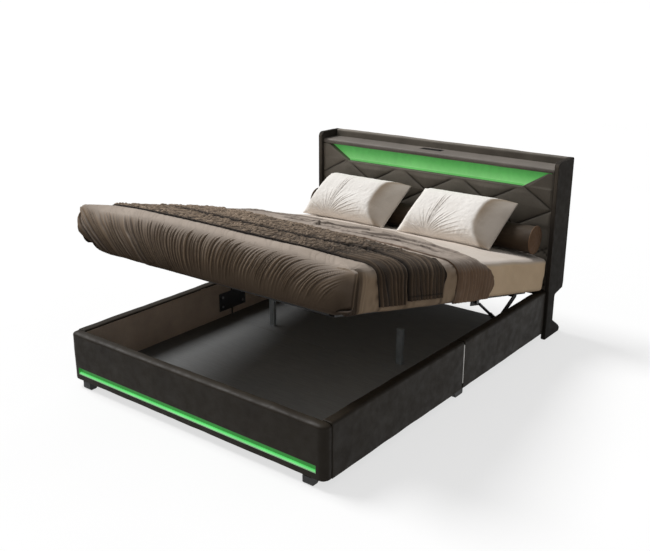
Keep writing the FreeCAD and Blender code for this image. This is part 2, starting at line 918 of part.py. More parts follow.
def runner_flat():
    low = mattress_top() - runner_drop
    return band_flat(runner_front, runner_rear, duvet_thickness + soft_gap, runner_thickness, low)


def blanket_flat():
    low = platform_level + duvet_thickness
    return band_flat(blanket_front, duvet_rear, duvet_thickness + soft_gap, blanket_thickness, low)


def pillow_section(x, half_height, front_thick, back_thick):
    front = Part.Arc(vec(x, 0, -half_height), vec(x, -front_thick, 0), vec(x, 0, half_height)).toShape()
    back = Part.Arc(vec(x, 0, half_height), vec(x, back_thick, 0), vec(x, 0, -half_height)).toShape()
    return Part.Wire([front, back])


def pillow_local():
    half = pillow_width / 2
    stations = []
    for place, thick in zip(pillow_station_shares, pillow_thick_shares):
        stations.append((place * half, thick))
    mirror = [(-place, thick) for place, thick in reversed(stations[1:])]
    wires = []
    for x, thick in mirror + stations:
        height = pillow_height / 2 - pillow_draw_in * thick
        wires.append(pillow_section(x, height, pillow_edge_half + pillow_front_thick * thick,
                                    pillow_edge_half + pillow_back_thick * thick))
    return Part.makeLoft(wires, True, True)


def pillow_flat(x):
    shape = pillow_local()
    shape.rotate(vec(0, 0, 0), vec(1, 0, 0), -pillow_lean)
    foot = pillow_height / 2 * math.sin(math.radians(pillow_lean))
    rise = mattress_top() + mattress_crown + soft_gap - shape.BoundBox.ZMin
    shape.translate(vec(x, pillow_foot_y + foot, rise))
    return shape


def bolster_flat():
    z = mattress_top() + mattress_crown + bolster_radius + soft_gap
    shape = cylinder_x(bolster_radius, -bolster_half, bolster_half, bolster_y, z)
    return round_edges(shape, bolster_round, lambda b: b.XLength < overrun)


def build():
    save("footboard_core", footboard_core())
    save("footboard_cover", footboard_cover())
    save("footboard_light_channel", footboard_light_channel())
    save("footboard_light_strip", footboard_light_strip())
    for side, word in ((1, "right"), (-1, "left")):
        holes = all_rail_bolt_holes(side)
        front = side_rail(side, foot_thickness, rail_split).cut(trim_slot(side)).cut(holes)
        save("rail_front_" + word, front)
        save("rail_rear_" + word, side_rail(side, rail_split, head_front).cut(trim_slot(side)).cut(holes))
        save("foot_front_" + word, front_foot(side))
        save("foot_mid_" + word, mid_foot(side))
        save("headboard_side_" + word, headboard_side(side))
        save("rail_bracket_" + word, rail_bracket(side))
        save("lift_arm_" + word, lift_arm(side))
        save("strut_cylinder_" + word, strut_cylinder(side))
        save("strut_rod_" + word, strut_rod(side))
        save("platform_side_" + word, platform_side(side))
        save("slats_" + word, slats(side))
    save("rail_joint_trims", rail_joint_trims())
    plates = rail_joint_plates()
    for side in (1, -1):
        plates = plates.cut(bolt_holes(side, joint_bolt_places(), rail_inner - joint_plate_thickness))
    save("rail_joint_plates", plates)
    save("front_corner_brackets", front_corner_brackets())
    save("head_corner_brackets", head_corner_brackets())
    save("frame_bolts", frame_bolts())
    save("floor_ledges", floor_ledges())
    save("cross_beams", cross_beams())
    save("centre_legs", centre_legs())
    save("floor_panel_front", floor_panel(foot_thickness, floor_split - floor_gap / 2))
    save("floor_panel_rear", floor_panel(floor_split + floor_gap / 2, head_front))
    save("platform_posts", platform_posts())
    save("headboard_quilt", headboard_quilt())
    save("headboard_light_board", headboard_light_board())
    save("headboard_light_strip", headboard_light_strip())
    save("headboard_lower_board", headboard_lower_board())
    save("headboard_shelf", headboard_shelf())
    save("headboard_top_rail", headboard_top_rail())
    save("headboard_back_board", headboard_back_board())
    save("headboard_base_board", headboard_base_board())
    save("headboard_studs", headboard_studs())
    save("socket_box", socket_box())
    save("socket_plate", socket_plate())
    save("light_button", light_button())
    save("platform_front_tube", platform_end(platform_front))
    save("platform_rear_tube", platform_end(platform_rear - tube_width))
    save("platform_centre_rail", platform_centre_rail())
    save("platform_cross_tube", platform_cross_tube())
    save("mattress", lifted(mattress_flat()))
    save("duvet", lifted(duvet_flat()))
    save("runner", lifted(runner_flat()))
    save("blanket", lifted(blanket_flat()))
    save("pillow_right", lifted(pillow_flat(pillow_x)))
    save("pillow_left", lifted(pillow_flat(pillow_left_x)))
    save("bolster", lifted(bolster_flat()))


os.makedirs("parts", exist_ok=True)
build()
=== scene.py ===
"""The storage bed's looks: upholstered frame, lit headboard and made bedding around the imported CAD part."""
import math
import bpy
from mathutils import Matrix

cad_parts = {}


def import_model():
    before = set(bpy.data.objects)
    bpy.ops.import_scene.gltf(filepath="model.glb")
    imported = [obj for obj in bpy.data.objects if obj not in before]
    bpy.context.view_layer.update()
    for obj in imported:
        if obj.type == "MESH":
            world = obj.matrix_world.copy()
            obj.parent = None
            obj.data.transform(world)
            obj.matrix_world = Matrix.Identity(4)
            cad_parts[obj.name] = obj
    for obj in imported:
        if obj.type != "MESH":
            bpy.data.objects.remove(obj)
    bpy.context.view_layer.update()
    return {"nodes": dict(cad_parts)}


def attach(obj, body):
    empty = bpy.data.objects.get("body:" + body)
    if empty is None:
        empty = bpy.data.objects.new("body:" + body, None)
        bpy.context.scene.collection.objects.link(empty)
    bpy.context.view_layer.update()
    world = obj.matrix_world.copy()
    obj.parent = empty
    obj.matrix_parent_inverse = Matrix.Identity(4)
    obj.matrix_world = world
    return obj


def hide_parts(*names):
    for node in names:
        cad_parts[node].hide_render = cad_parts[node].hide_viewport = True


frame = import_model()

from types import SimpleNamespace

import bpy
import numpy as np
from mathutils import Vector

SIDES = (("left", -1), ("right", 1))
BOX_FACES = ("x0", "x1", "y0", "y1", "z0", "z1")
TOUCH = 1e-6

# Lengths along the bed are measured from the foot end, and the row frame's Y starts at the middle.
FOOT_Y = -1.1225

# The bedding is modelled with the platform level and then raised about the lift pin.
REST_TILT = math.radians(12.7)
PIN_LEVEL = (0.6725, 0.280)
PIN_RAISED = (0.652509, 0.336036)

# Bedding section: half width, top and shoulder of the duvet on the mattress.
BED_HALF = 0.828
BED_TOP = 0.500
BED_LOW = 0.3004
SHOULDER = 0.0575
CROWN = 0.026
CROWN_HALF = 0.80
CROWN_POWER = 4


# ---------------------------------------------------------------- small maths
def ease(t):
    t = np.clip(t, 0.0, 1.0)
    return t * t * (3.0 - 2.0 * t)


def hashed(i, j, seed):
    n = (i * 374761393 + j * 668265263 + seed * 144269504) & 0xFFFFFFFF
    n = ((n ^ (n >> 13)) * 1274126177) & 0xFFFFFFFF
    return ((n ^ (n >> 16)) & 0xFFFF) / 65535.0


def noise(x, y, seed):
    """Smooth noise from -1 to 1 with one lattice cell for each unit of x and y."""
    x = np.asarray(x, float) + 1000.0
    y = np.asarray(y, float) + 1000.0
    i, j = np.floor(x).astype(np.int64), np.floor(y).astype(np.int64)
    u, v = ease(x - i), ease(y - j)
    low = hashed(i, j, seed) * (1 - u) + hashed(i + 1, j, seed) * u
    high = hashed(i, j + 1, seed) * (1 - u) + hashed(i + 1, j + 1, seed) * u
    return 2.0 * (low * (1 - v) + high * v) - 1.0


def cells(x, y, seed):
    """Distances to the nearest two of some scattered points, and the nearest one's own value from 0 to 1."""
    x = np.asarray(x, float) + 1000.0
    y = np.asarray(y, float) + 1000.0
    i, j = np.floor(x).astype(np.int64), np.floor(y).astype(np.int64)
    near = np.full(x.shape, 9.0)
    second = np.full(x.shape, 9.0)
    own = np.zeros(x.shape)
    for di in (-1, 0, 1):
        for dj in (-1, 0, 1):
            a, b = i + di, j + dj
            px = a + 0.15 + 0.7 * hashed(a, b, seed)
            py = b + 0.15 + 0.7 * hashed(a, b, seed + 7)
            d = np.hypot(x - px, y - py)
            second = np.minimum(second, np.maximum(near, d))
            own = np.where(d < near, hashed(a, b, seed + 13), own)
            near = np.minimum(near, d)
    return near, second, own


def along(value, table):
    """Straight-line look-up in a table of (place, value) pairs."""
    places, values = zip(*table)
    return np.interp(value, places, values)


def smooth_along(value, table, width):
    """The same look-up, averaged over a short width so that it has no corners."""
    total = 0.0
    for k in (-1.0, -0.6, -0.2, 0.2, 0.6, 1.0):
        total = total + along(value + k * width, table)
    return total / 6.0


def unit(vectors):
    return vectors / np.maximum(np.linalg.norm(vectors, axis=1), 1e-9)[:, None]


def bell(offset, width):
    """1 where the offset is nothing, and next to 0 from two widths on."""
    return np.exp(-(offset / width) ** 2)


def lift(points):
    """Points of the level bedding, moved to where the raised platform carries them."""
    c, s = math.cos(REST_TILT), math.sin(REST_TILT)
    y = points[:, 1] + FOOT_Y - PIN_LEVEL[0]
    z = points[:, 2] - PIN_LEVEL[1]
    raised = points.copy()
    raised[:, 1] = PIN_RAISED[0] + y * c + z * s
    raised[:, 2] = PIN_RAISED[1] - y * s + z * c
    return raised


def spaced(low, high, step, edge=0.0, fine=None):
    """Grid lines from low to high, closer together over the last edge at each end."""
    count = max(1, round((high - low - 2 * edge) / step))
    middle = np.linspace(low + edge, high - edge, count + 1)
    if not edge:
        return middle
    close = max(2, round(edge / fine))
    return np.concatenate([
        np.linspace(low, low + edge, close + 1)[:-1], middle,
        np.linspace(high - edge, high, close + 1)[1:]])


def with_lines(lines, *extra):
    """The grid lines with a few more put in, in place of those within 2 mm of them."""
    kept = [v for v in lines if all(abs(v - e) > 0.002 for e in extra)]
    return np.array(sorted(kept + list(extra)))


# ---------------------------------------------------------------- meshes
def grid_quads(ids):
    return np.stack([ids[:-1, :-1], ids[1:, :-1], ids[1:, 1:], ids[:-1, 1:]], -1).reshape(-1, 4)


def ring_ids(rings, around):
    """Point numbers of a stack of closed rings, with each ring's first point repeated at its end."""
    ids = np.arange(rings * around).reshape(rings, around)
    return np.concatenate([ids, ids[:, :1]], 1)


def capped(ids, flipped, ends):
    """Faces of a stack of rings, with the rings at the given ends closed."""
    quads = grid_quads(ids)
    faces = list(quads[:, ::-1] if flipped else quads)
    for end in ends:
        ring = ids[end, :-1]
        faces.append(ring if (end == 0) != flipped else ring[::-1])
    return faces


def shell(xs, ys, zs, faces, keep=None):
    """Points and quads of the named faces of a box on a grid, joined at its edges."""
    lines = (xs, ys, zs)
    nx, ny, nz = (len(v) for v in lines)
    i, j, k = np.arange(nx), np.arange(ny), np.arange(nz)

    def places(ids):
        return np.stack([xs[ids % nx], ys[(ids // nx) % ny], zs[ids // (nx * ny)]], -1)
    quads = []
    for face in faces:
        high = face[1] == "1"
        if face[0] == "x":
            ids = (nx - 1 if high else 0) + nx * (j[:, None] + ny * k[None, :])
        elif face[0] == "y":
            ids = i[None, :] + nx * ((ny - 1 if high else 0) + ny * k[:, None])
        else:
            ids = i[:, None] + nx * (j[None, :] + ny * (nz - 1 if high else 0))
        q = grid_quads(ids)
        q = q if high else q[:, ::-1]
        quads.append(q if keep is None else q[keep(places(q).mean(1), face)])
    used, where = np.unique(np.concatenate(quads), return_inverse=True)
    return places(used).astype(float), where.reshape(-1, 4)


def rounded(p, low, high, round_low, round_high):
    """Box points moved on to the same box with rounded edges, and the outward direction at each."""
    low, high, r_low, r_high = (np.array(v, float) for v in (low, high, round_low, round_high))
    q = np.clip(p, low + r_low, high - r_high)
    d = p - q
    r = np.maximum(np.where(d < 0, r_low, r_high), 1e-6)
    n = unit(d / r)
    return q + r * n, unit(n / r)


def make_piece(name, points, faces, material, body, replaced=None, shade=None):
    """A mesh object that rides on a CAD body. shade is 0 in creases and 1 on open cloth."""
    mesh = bpy.data.meshes.new(name)
    mesh.from_pydata(np.asarray(points).tolist(), [], [list(map(int, f)) for f in faces])
    mesh.polygons.foreach_set("use_smooth", [True] * len(mesh.polygons))
    shade = np.ones(len(points)) if shade is None else np.clip(shade, 0.0, 1.0)
    mesh.attributes.new("shade", "FLOAT", "POINT").data.foreach_set("value", shade.astype(np.float32))
    mesh.materials.append(MATERIALS[material])
    mesh.update()
    piece = bpy.data.objects.new(name, mesh)
    bpy.context.scene.collection.objects.link(piece)
    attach(piece, body)
    if replaced:
        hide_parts(replaced)
    return piece


def heading(line, closed=False):
    """The direction at each point of a line."""
    return unit(np.roll(line, -1, 0) - np.roll(line, 1, 0) if closed else np.gradient(line, axis=0))


def tube(points, radius, closed=False, sides=10):
    """Points and quads of a round bead that follows a line of points."""
    p = np.asarray(points, float)
    t = heading(p, closed)
    up = np.array([1.0, 0.0, 0.0])
    if np.abs(t @ up).mean() > 0.7:
        up = np.array([0.0, 0.0, 1.0])
    side = unit(np.cross(t, up))
    other = np.cross(side, t)
    a = np.linspace(0, 2 * math.pi, sides, endpoint=False)[None, :, None]
    ring = p[:, None] + radius * (np.cos(a) * side[:, None] + np.sin(a) * other[:, None])
    ids = ring_ids(len(p), sides)
    if closed:
        ids = np.concatenate([ids, ids[:1]], 0)
    return ring.reshape(-1, 3), grid_quads(ids)


# ---------------------------------------------------------------- materials
MATERIALS = {}


def connect(tree, value, socket):
    """Gives a socket its value: a link from another socket, or a plain value."""
    if isinstance(value, bpy.types.NodeSocket):
        tree.links.new(value, socket)
    else:
        socket.default_value = value


def node(tree, kind, inputs=None, **settings):
    made = tree.nodes.new(kind)
    for key, value in settings.items():
        setattr(made, key, value)
    for key, value in (inputs or {}).items():
        connect(tree, value, made.inputs[key])
    return made


def linear(rgb, share=1.0):
    """A colour written as sRGB bytes, times a share, as Blender's linear values."""
    values = [v * share / 255.0 for v in rgb]
    return tuple(v / 12.92 if v <= 0.04045 else ((v + 0.055) / 1.055) ** 2.4 for v in values) + (1.0,)


class Surface:
    """A Principled material that is built up from a few kinds of procedural detail."""

    def __init__(self, name, roughness=0.5, metallic=0.0, specular=0.5, sheen=0.0, sheen_rough=0.5):
        MATERIALS[name] = material = bpy.data.materials.new(name)
        material.use_nodes = True
        self.tree = material.node_tree
        self.shader = self.tree.nodes["Principled BSDF"]
        for key, value in (("Roughness", roughness), ("Metallic", metallic), ("Specular IOR Level", specular),
                           ("Sheen Weight", sheen), ("Sheen Roughness", sheen_rough)):
            self.set(key, value)
        self.place = node(self.tree, "ShaderNodeTexCoord").outputs["Object"]
        self.height = None

    def set(self, key, value):
        connect(self.tree, value, self.shader.inputs[key])

    def noise(self, scale, detail=3.0, rough=0.55, stretch=(1, 1, 1)):
        place = node(self.tree, "ShaderNodeMapping", {"Vector": self.place, "Scale": stretch}).outputs[0]
        return node(self.tree, "ShaderNodeTexNoise", {
            "Vector": place, "Scale": scale, "Detail": detail, "Roughness": rough}).outputs["Fac"]

    def voronoi(self, scale):
        return node(self.tree, "ShaderNodeTexVoronoi", {
            "Vector": self.place, "Scale": scale}).outputs["Distance"]

    def wave(self, scale, direction):
        return node(self.tree, "ShaderNodeTexWave", {"Vector": self.place, "Scale": scale},
                    bands_direction=direction).outputs["Fac"]

    def shade(self):
        return node(self.tree, "ShaderNodeAttribute", attribute_name="shade").outputs["Fac"]

    def coordinate(self, axis):
        return node(self.tree, "ShaderNodeSeparateXYZ", {0: self.place}).outputs[axis]

    def ranged(self, value, low, high, new_low=0.0, new_high=1.0):
        inputs = {"Value": value, "From Min": low, "From Max": high, "To Min": new_low, "To Max": new_high}
        return node(self.tree, "ShaderNodeMapRange", inputs).outputs[0]

    def uneven(self, value, low=0.0, high=1.0):
        """A noise's usual values, stretched to run from low to high."""
        return self.ranged(value, 0.3, 0.7, low, high)

    def mix(self, factor, a, b, blend="MIX"):
        made = node(self.tree, "ShaderNodeMix", {0: factor, 6: a, 7: b}, data_type="RGBA", blend_type=blend)
        return made.outputs[2]

    def times(self, base, level):
        """The base colour times a grey level."""
        grey = node(self.tree, "ShaderNodeCombineColor", {0: level, 1: level, 2: level}).outputs[0]
        return self.mix(1.0, base, grey, "MULTIPLY")

    def across(self, base, levels):
        """Painted light: the base colour times a level that changes from the bed's left side to its right."""
        return self.times(base, self.ranged(self.coordinate(0), -0.80, 0.80, *levels))

    def painted_side_lighting(self, base, side):
        """Painted light and shade: the base colour on upward faces, and times the given values where the
        surface turns to the side.
        """
        normal = node(self.tree, "ShaderNodeNewGeometry").outputs["Normal"]
        up = node(self.tree, "ShaderNodeSeparateXYZ", {0: normal}).outputs[2]
        sideways = self.mix(1.0, base, (*side, 1.0), "MULTIPLY")
        return self.mix(self.ranged(up, 0.05, 0.80), sideways, base)

    def maths(self, operation, a, b):
        return node(self.tree, "ShaderNodeMath", {0: a, 1: b}, operation=operation).outputs[0]

    def bump(self, value, distance, strength):
        inputs = {"Height": value, "Distance": distance, "Strength": strength}
        if self.height is not None:
            inputs["Normal"] = self.height
        self.height = node(self.tree, "ShaderNodeBump", inputs).outputs[0]
        self.set("Normal", self.height)


def leather(name, rgb, dark, grain=620.0, roughness=(0.46, 0.62), specular=0.16, painted_foot_shade=None, across=None):
    """Soft synthetic leather: pebble grain, slow tone changes, and painted shade from the mesh's shade in
    seam grooves and creases; where asked, painted light across the bed and painted shade towards the foot.
    """
    s = Surface(name, specular=specular)
    base = s.mix(s.ranged(s.noise(5.5, 4.0), 0.32, 0.68), linear(dark), linear(rgb))
    base = s.times(base, s.uneven(s.noise(160.0, 2.0), 0.93, 1.04))
    base = s.mix(s.shade(), linear(dark, 0.35), base)
    # painted light: lighter on one side of the bed than on the other
    if across:
        base = s.across(base, across)
    # painted shade: darker towards the foot
    if painted_foot_shade:
        base = s.mix(s.ranged(s.coordinate(2), *painted_foot_shade), linear(dark, 0.4), base)
    s.set("Base Color", base)
    s.set("Roughness", s.uneven(s.noise(24.0), *roughness))
    s.bump(s.voronoi(grain), 0.00016, 0.5)
    s.bump(s.noise(55.0), 0.0006, 0.22)


def cloth(name, rgb, dark, weave=1400.0, sheen=0.15, roughness=0.85, specular=0.25, depth=0.0001,
          sheen_rough=0.4, shadow=None, side=(0.92, 0.82, 0.72)):
    """Woven cloth: crossed threads, slightly uneven tone, painted shade in creases from the mesh's shade, and
    painted light and shade on faces that turn to the side.
    """
    s = Surface(name, roughness=roughness, specular=specular, sheen=sheen, sheen_rough=sheen_rough)
    base = s.mix(s.uneven(s.noise(7.0, 4.0)), linear(dark), linear(rgb))
    base = s.times(base, s.uneven(s.noise(90.0, 2.0, stretch=(1.0, 6.0, 6.0)), 0.95, 1.03))
    base = s.mix(s.shade(), linear(shadow) if shadow else linear(dark, 0.45), s.painted_side_lighting(base, side))
    s.set("Base Color", base)
    s.set("Roughness", s.uneven(s.noise(30.0, 2.0), roughness - 0.06, min(1.0, roughness + 0.06)))
    threads = s.maths("ADD", s.wave(weave, "X"), s.wave(weave, "Y"))
    s.bump(s.maths("ADD", threads, s.wave(weave, "Z")), depth, 0.6)
    s.bump(s.noise(70.0), 0.0005, 0.25)


def wood(name, rgb, dark, roughness=0.55, across=None):
    """Timber or plywood with grain that runs across the bed."""
    s = Surface(name, roughness=roughness, specular=0.3)
    stretch = (0.9, 14.0, 14.0)
    grain, pores = s.noise(9.0, 6.0, 0.6, stretch), s.noise(60.0, 2.0, stretch=stretch)
    base = s.mix(s.uneven(grain), linear(dark), linear(rgb))
    base = s.mix(s.ranged(pores, 0.58, 0.75, 0.0, 0.35), base, linear(dark, 0.6))
    # painted light where asked: lighter on one side of the bed than on the other
    s.set("Base Color", s.across(base, across) if across else base)
    s.set("Roughness", s.uneven(grain, roughness - 0.08, roughness + 0.1))
    s.bump(pores, 0.0003, 0.3)


def metal(name, rgb, metallic=1.0, roughness=(0.3, 0.42), brushed=(1, 1, 1)):
    """Painted, plated or plain metal, with faint brushing or orange peel."""
    s = Surface(name, metallic=metallic)
    s.set("Base Color", s.mix(s.uneven(s.noise(18.0)), linear(rgb, 0.86), linear(rgb)))
    grain = s.noise(220.0, 2.0, stretch=brushed)
    s.set("Roughness", s.uneven(grain, *roughness))
    s.bump(grain, 0.0001, 0.25)


def plastic(name, rgb, roughness=(0.4, 0.5)):
    """Moulded plastic with a fine spark-eroded grain."""
    s = Surface(name, specular=0.4)
    s.set("Base Color", s.mix(s.uneven(s.noise(12.0)), linear(rgb, 0.85), linear(rgb)))
    s.set("Roughness", s.uneven(s.noise(40.0, 2.0), *roughness))
    s.bump(s.noise(900.0, 1.0), 0.0001, 0.35)


def glow(name, stops, low, high, strength, blotch=0.12):
    """A diffuser, or a board with a strip's light painted on as a glow: light that changes from its lower
    edge to its upper one, a little unevenly.
    """
    s = Surface(name, roughness=0.45, specular=0.3)
    ramp = node(s.tree, "ShaderNodeValToRGB", {0: s.ranged(s.coordinate(2), low, high)})
    points = ramp.color_ramp.elements
    while len(points) < len(stops):
        points.new(0.5)
    for element, (where, rgb) in zip(points, stops):
        element.position = where
        element.color = linear(rgb)
    unlit = (60, 120, 60)
    s.set("Base Color", s.mix(s.uneven(s.noise(30.0, 2.0)), linear(unlit, 0.8), linear(unlit)))
    s.set("Emission Color", s.times(ramp.outputs[0], s.uneven(s.noise(6.0, 2.0), 1.0 - blotch, 1.0 + blotch)))
    s.set("Emission Strength", strength)
    s.bump(s.noise(300.0, 1.0), 0.0001, 0.3)


def make_materials():
    leather("frame_leather", (48, 42, 34), (40, 34, 27))
    # the lining's pale colour is partly its own and partly painted light on the storage box's inner walls
    leather("inner_leather", (190, 172, 156), (170, 153, 138))
    # painted light: the headboard is painted lighter towards the bed's left and darker towards its right
    leather("head_leather", (128, 121, 111), (112, 106, 97), across=(1.25, 0.80))
    leather("shelf_leather", (128, 121, 114), (114, 108, 102))
    # painted shade: the headboard sides are painted darker towards their foot
    leather("wing_leather", (112, 104, 94), (98, 90, 81), painted_foot_shade=(0.10, 0.75), specular=0.08,
            roughness=(0.6, 0.75))
    leather("piping", (60, 54, 48), (50, 44, 39), grain=900.0)
    wood("timber", (196, 166, 122), (160, 130, 90))
    wood("back_board", (58, 53, 50), (46, 42, 40), 0.7)
    wood("slat_wood", (214, 188, 142), (184, 152, 106))
    # painted light: the floor boards are painted much lighter towards the bed's right, against the platform's
    # shadow there
    wood("floor_board", (96, 97, 97), (82, 83, 83), 0.75, across=(0.75, 3.6))
    metal("platform_steel", (24, 24, 25), 0.2, (0.45, 0.58))
    metal("bracket_steel", (44, 44, 46), 0.3, (0.4, 0.52))
    metal("post_steel", (166, 172, 174), 0.2, (0.42, 0.55))
    metal("trim_metal", (206, 203, 198), 0.75, (0.28, 0.4), (1, 1, 12))
    metal("bolt_steel", (176, 176, 178), 1.0, (0.25, 0.38))
    metal("strut_black", (24, 24, 26), 0.2, (0.25, 0.36))
    metal("rod_chrome", (46, 46, 49), 0.7, (0.16, 0.26), (1, 1, 9))
    plastic("foot_plastic", (26, 25, 25))
    plastic("socket_plastic", (20, 20, 22), (0.3, 0.4))
    # painted light: the channel is no lamp; its glow stands for the strip's light falling on it
    glow("channel_light", [(0.0, (215, 250, 215)), (0.14, (84, 204, 92)), (0.55, (60, 178, 72)),
                           (0.86, (48, 150, 58)), (1.0, (20, 84, 30))], CHANNEL_LOW, CHANNEL_HIGH, 0.34)
    glow("strip_light", [(0.0, (150, 240, 160)), (1.0, (90, 220, 110))], CHANNEL_LOW, CHANNEL_STRIP, 0.9)
    # painted light: the light board is no lamp; its glow stands for the light strip's light falling on it
    glow("recess_light", [(0.0, (142, 212, 134)), (0.25, (118, 194, 112)), (0.6, (86, 166, 84)),
                          (1.0, (58, 130, 60))], RECESS_LOW, QUILT_HIGH, 0.80, blotch=0.06)
    glow("recess_strip", [(0.0, (120, 206, 116)), (1.0, (104, 190, 100))], RECESS_LOW, RECESS_STRIP, 0.75)
    # The side values paint light and shade on faces that turn to the side: warm painted light on the sheet's
    # sides, and painted shade on the others. The shadow colours are the painted shade in creases.
    cloth("sheet", (216, 205, 195), (206, 194, 182), sheen=0.1, side=(1.41, 1.20, 0.90))
    cloth("satin", (180, 167, 155), (165, 152, 140), weave=2600.0, sheen=0.05, roughness=0.74,
          specular=0.08, depth=0.00005, sheen_rough=0.3, shadow=(40, 30, 24), side=(0.98, 0.85, 0.69))
    cloth("knit", (172, 152, 132), (150, 131, 113), weave=700.0, sheen=0.04, roughness=0.9, depth=0.0004,
          shadow=(20, 14, 10), side=(0.95, 0.86, 0.76))
    cloth("blanket", (178, 165, 154), (162, 149, 138), weave=1500.0, sheen=0.04, roughness=0.7,
          specular=0.15, shadow=(44, 33, 25), side=(0.72, 0.54, 0.40))
    cloth("cotton", (247, 243, 238), (238, 233, 227), sheen=0.1, shadow=(122, 100, 72),
          side=(1.0, 0.985, 0.965))
    cloth("bolster", (72, 60, 47), (63, 52, 41), sheen=0.1, roughness=0.7)
    cloth("bolster_end", (126, 99, 75), (110, 86, 65), sheen=0.1, roughness=0.7)


# The CAD nodes that are seen as they are, by material. A star stands for left and right.
NODE_MATERIALS = {
    "timber": "cross_beams floor_ledges headboard_studs",
    "back_board": "headboard_back_board headboard_base_board footboard_core",
    "slat_wood": "slats_*",
    "floor_board": "floor_panel_front floor_panel_rear",
    "platform_steel": "platform_centre_rail platform_cross_tube platform_front_tube platform_rear_tube "
                      "platform_side_* lift_arm_*",
    "post_steel": "platform_posts",
    "bracket_steel": "rail_bracket_* front_corner_brackets head_corner_brackets rail_joint_plates",
    "trim_metal": "rail_joint_trims",
    "bolt_steel": "frame_bolts",
    "strut_black": "strut_cylinder_*",
    "rod_chrome": "strut_rod_*",
    "foot_plastic": "centre_legs foot_front_* foot_mid_*",
    "socket_plastic": "socket_box socket_plate light_button",
    "channel_light": "footboard_light_channel",
    "strip_light": "footboard_light_strip",
    "recess_light": "headboard_light_board",
    "recess_strip": "headboard_light_strip",
}


def paint_cad_nodes():
    for name, listed in NODE_MATERIALS.items():
        for entry in listed.split():
            for side, _ in SIDES if "*" in entry else SIDES[:1]:
                mesh = frame["nodes"][entry.replace("*", side)].data
                mesh.materials.clear()
                mesh.materials.append(MATERIALS[name])


# ---------------------------------------------------------------- upholstered frame
FRAME_HALF = 0.820
RAIL_INNER = 0.765
RAIL_LOW, RAIL_TOP = 0.040, 0.297
RAIL_FRONT, RAIL_JOINT, RAIL_REAR = -1.0725, -0.0045, 0.9215
TRIM_WIDTH = 0.0074
CHANNEL_HALF = 0.773
CHANNEL_LOW, CHANNEL_STRIP, CHANNEL_HIGH = 0.074, 0.083, 0.110


def padded_board(name, low, high, round_low, round_high, material, replaced, seed, fine=0.003,
                 puff=0.0012, window=None):
    """A leather-covered board: rounded edges, faint waves in the cover, and perhaps a window in one face."""
    edges = [max(a, b) * 1.3 + 0.002 for a, b in zip(round_low, round_high)]
    lines = [spaced(low[a], high[a], 0.02, min(edges[a], (high[a] - low[a]) * 0.45), fine) for a in range(3)]
    keep = None
    if window:
        face, (first, second), (a0, a1), (b0, b1) = window
        lines[first] = with_lines(lines[first], a0, a1)
        lines[second] = with_lines(lines[second], b0, b1)

        def beyond(p):
            """How far a point lies outside the window."""
            return np.maximum(np.maximum(a0 - p[:, first], p[:, first] - a1),
                              np.maximum(b0 - p[:, second], p[:, second] - b1))

        def keep(p, f):
            return (beyond(p) >= 0) | (f != face)
    p, quads = shell(*lines, BOX_FACES, keep)
    points, out = rounded(p, low, high, round_low, round_high)
    wave = noise(p[:, 0] * 9 + p[:, 1] * 9, p[:, 2] * 12 + p[:, 1] * 3, seed)
    wave = wave + 0.5 * noise(p[:, 0] * 26 + p[:, 1] * 26, p[:, 2] * 30, seed + 1)
    if window:
        wave = wave * ease(beyond(p) / 0.02)
    points = points + out * (wave * puff)[:, None]
    return make_piece(name, points, quads, material, "root", replaced)


def footboard():
    padded_board("footboard_upholstery", (-FRAME_HALF, FOOT_Y, RAIL_LOW), (FRAME_HALF, RAIL_FRONT, RAIL_TOP),
                 (0.040, 0.034, 0.006), (0.040, 0.006, 0.016), "frame_leather",
                 "footboard_cover", seed=11,
                 window=("y0", (0, 2), (-CHANNEL_HALF, CHANNEL_HALF), (CHANNEL_LOW - 0.0004, CHANNEL_HIGH)))


def side_rails():
    for side, sign in SIDES:
        x0, x1 = sorted((sign * RAIL_INNER, sign * FRAME_HALF))
        for part, y0, y1 in (("front", RAIL_FRONT + 0.001, RAIL_JOINT - TRIM_WIDTH),
                             ("rear", RAIL_JOINT + 0.0012, RAIL_REAR - 0.001)):
            rail = padded_board(f"rail_{part}_{side}_cover", (x0, y0, RAIL_LOW), (x1, y1, RAIL_TOP),
                                (0.012, 0.0025, 0.005), (0.012, 0.0025, 0.012), "frame_leather",
                                f"rail_{part}_{side}",
                                seed=20 + 3 * sign + (part == "rear"))
            line_inside(rail, -sign)


def line_inside(rail, way):
    """Gives the faces that look into the storage box the lining cloth, whose pale colour is partly its own
    and partly painted light on the inner walls.
    """
    rail.data.materials.append(MATERIALS["inner_leather"])
    for face in rail.data.polygons:
        if face.normal[0] * way > 0.95:
            face.material_index = 1


# ---------------------------------------------------------------- headboard
HEAD_HALF = 0.808
HEAD_TOP = 1.043
SHELF_BACK = 1.0825
SOCKET_WINDOW = ((-0.112, 0.038), (1.003, 1.057))
QUILT_FACE = 0.9425
QUILT_LOW = 0.300
QUILT_HIGH = 0.970
RECESS_LOW = 0.876
RECESS_STRIP = 0.884
RECESS_HALF = 0.611
RECESS_SLOPE = 1.64
RECESS_DEPTH = 0.035
RECESS_ROUND = 0.007
SEAM_PERIOD = 0.411
# The quilt's seams: a point that each family of lines passes, and the slope of the lines.
SEAMS = (((-0.020, 0.765), 0.5277), ((0.2055, 0.884), -0.6415))


def seam_distance(x, z):
    """Distance from a point of the quilt to the nearest line of its diamond lattice."""
    distances = []
    for (px, pz), slope in SEAMS:
        shift = (x - px - (z - pz) / slope) / SEAM_PERIOD
        off = np.abs(shift - np.round(shift)) * SEAM_PERIOD
        distances.append(off * abs(math.sin(math.atan(slope))))
    return np.minimum(*distances)


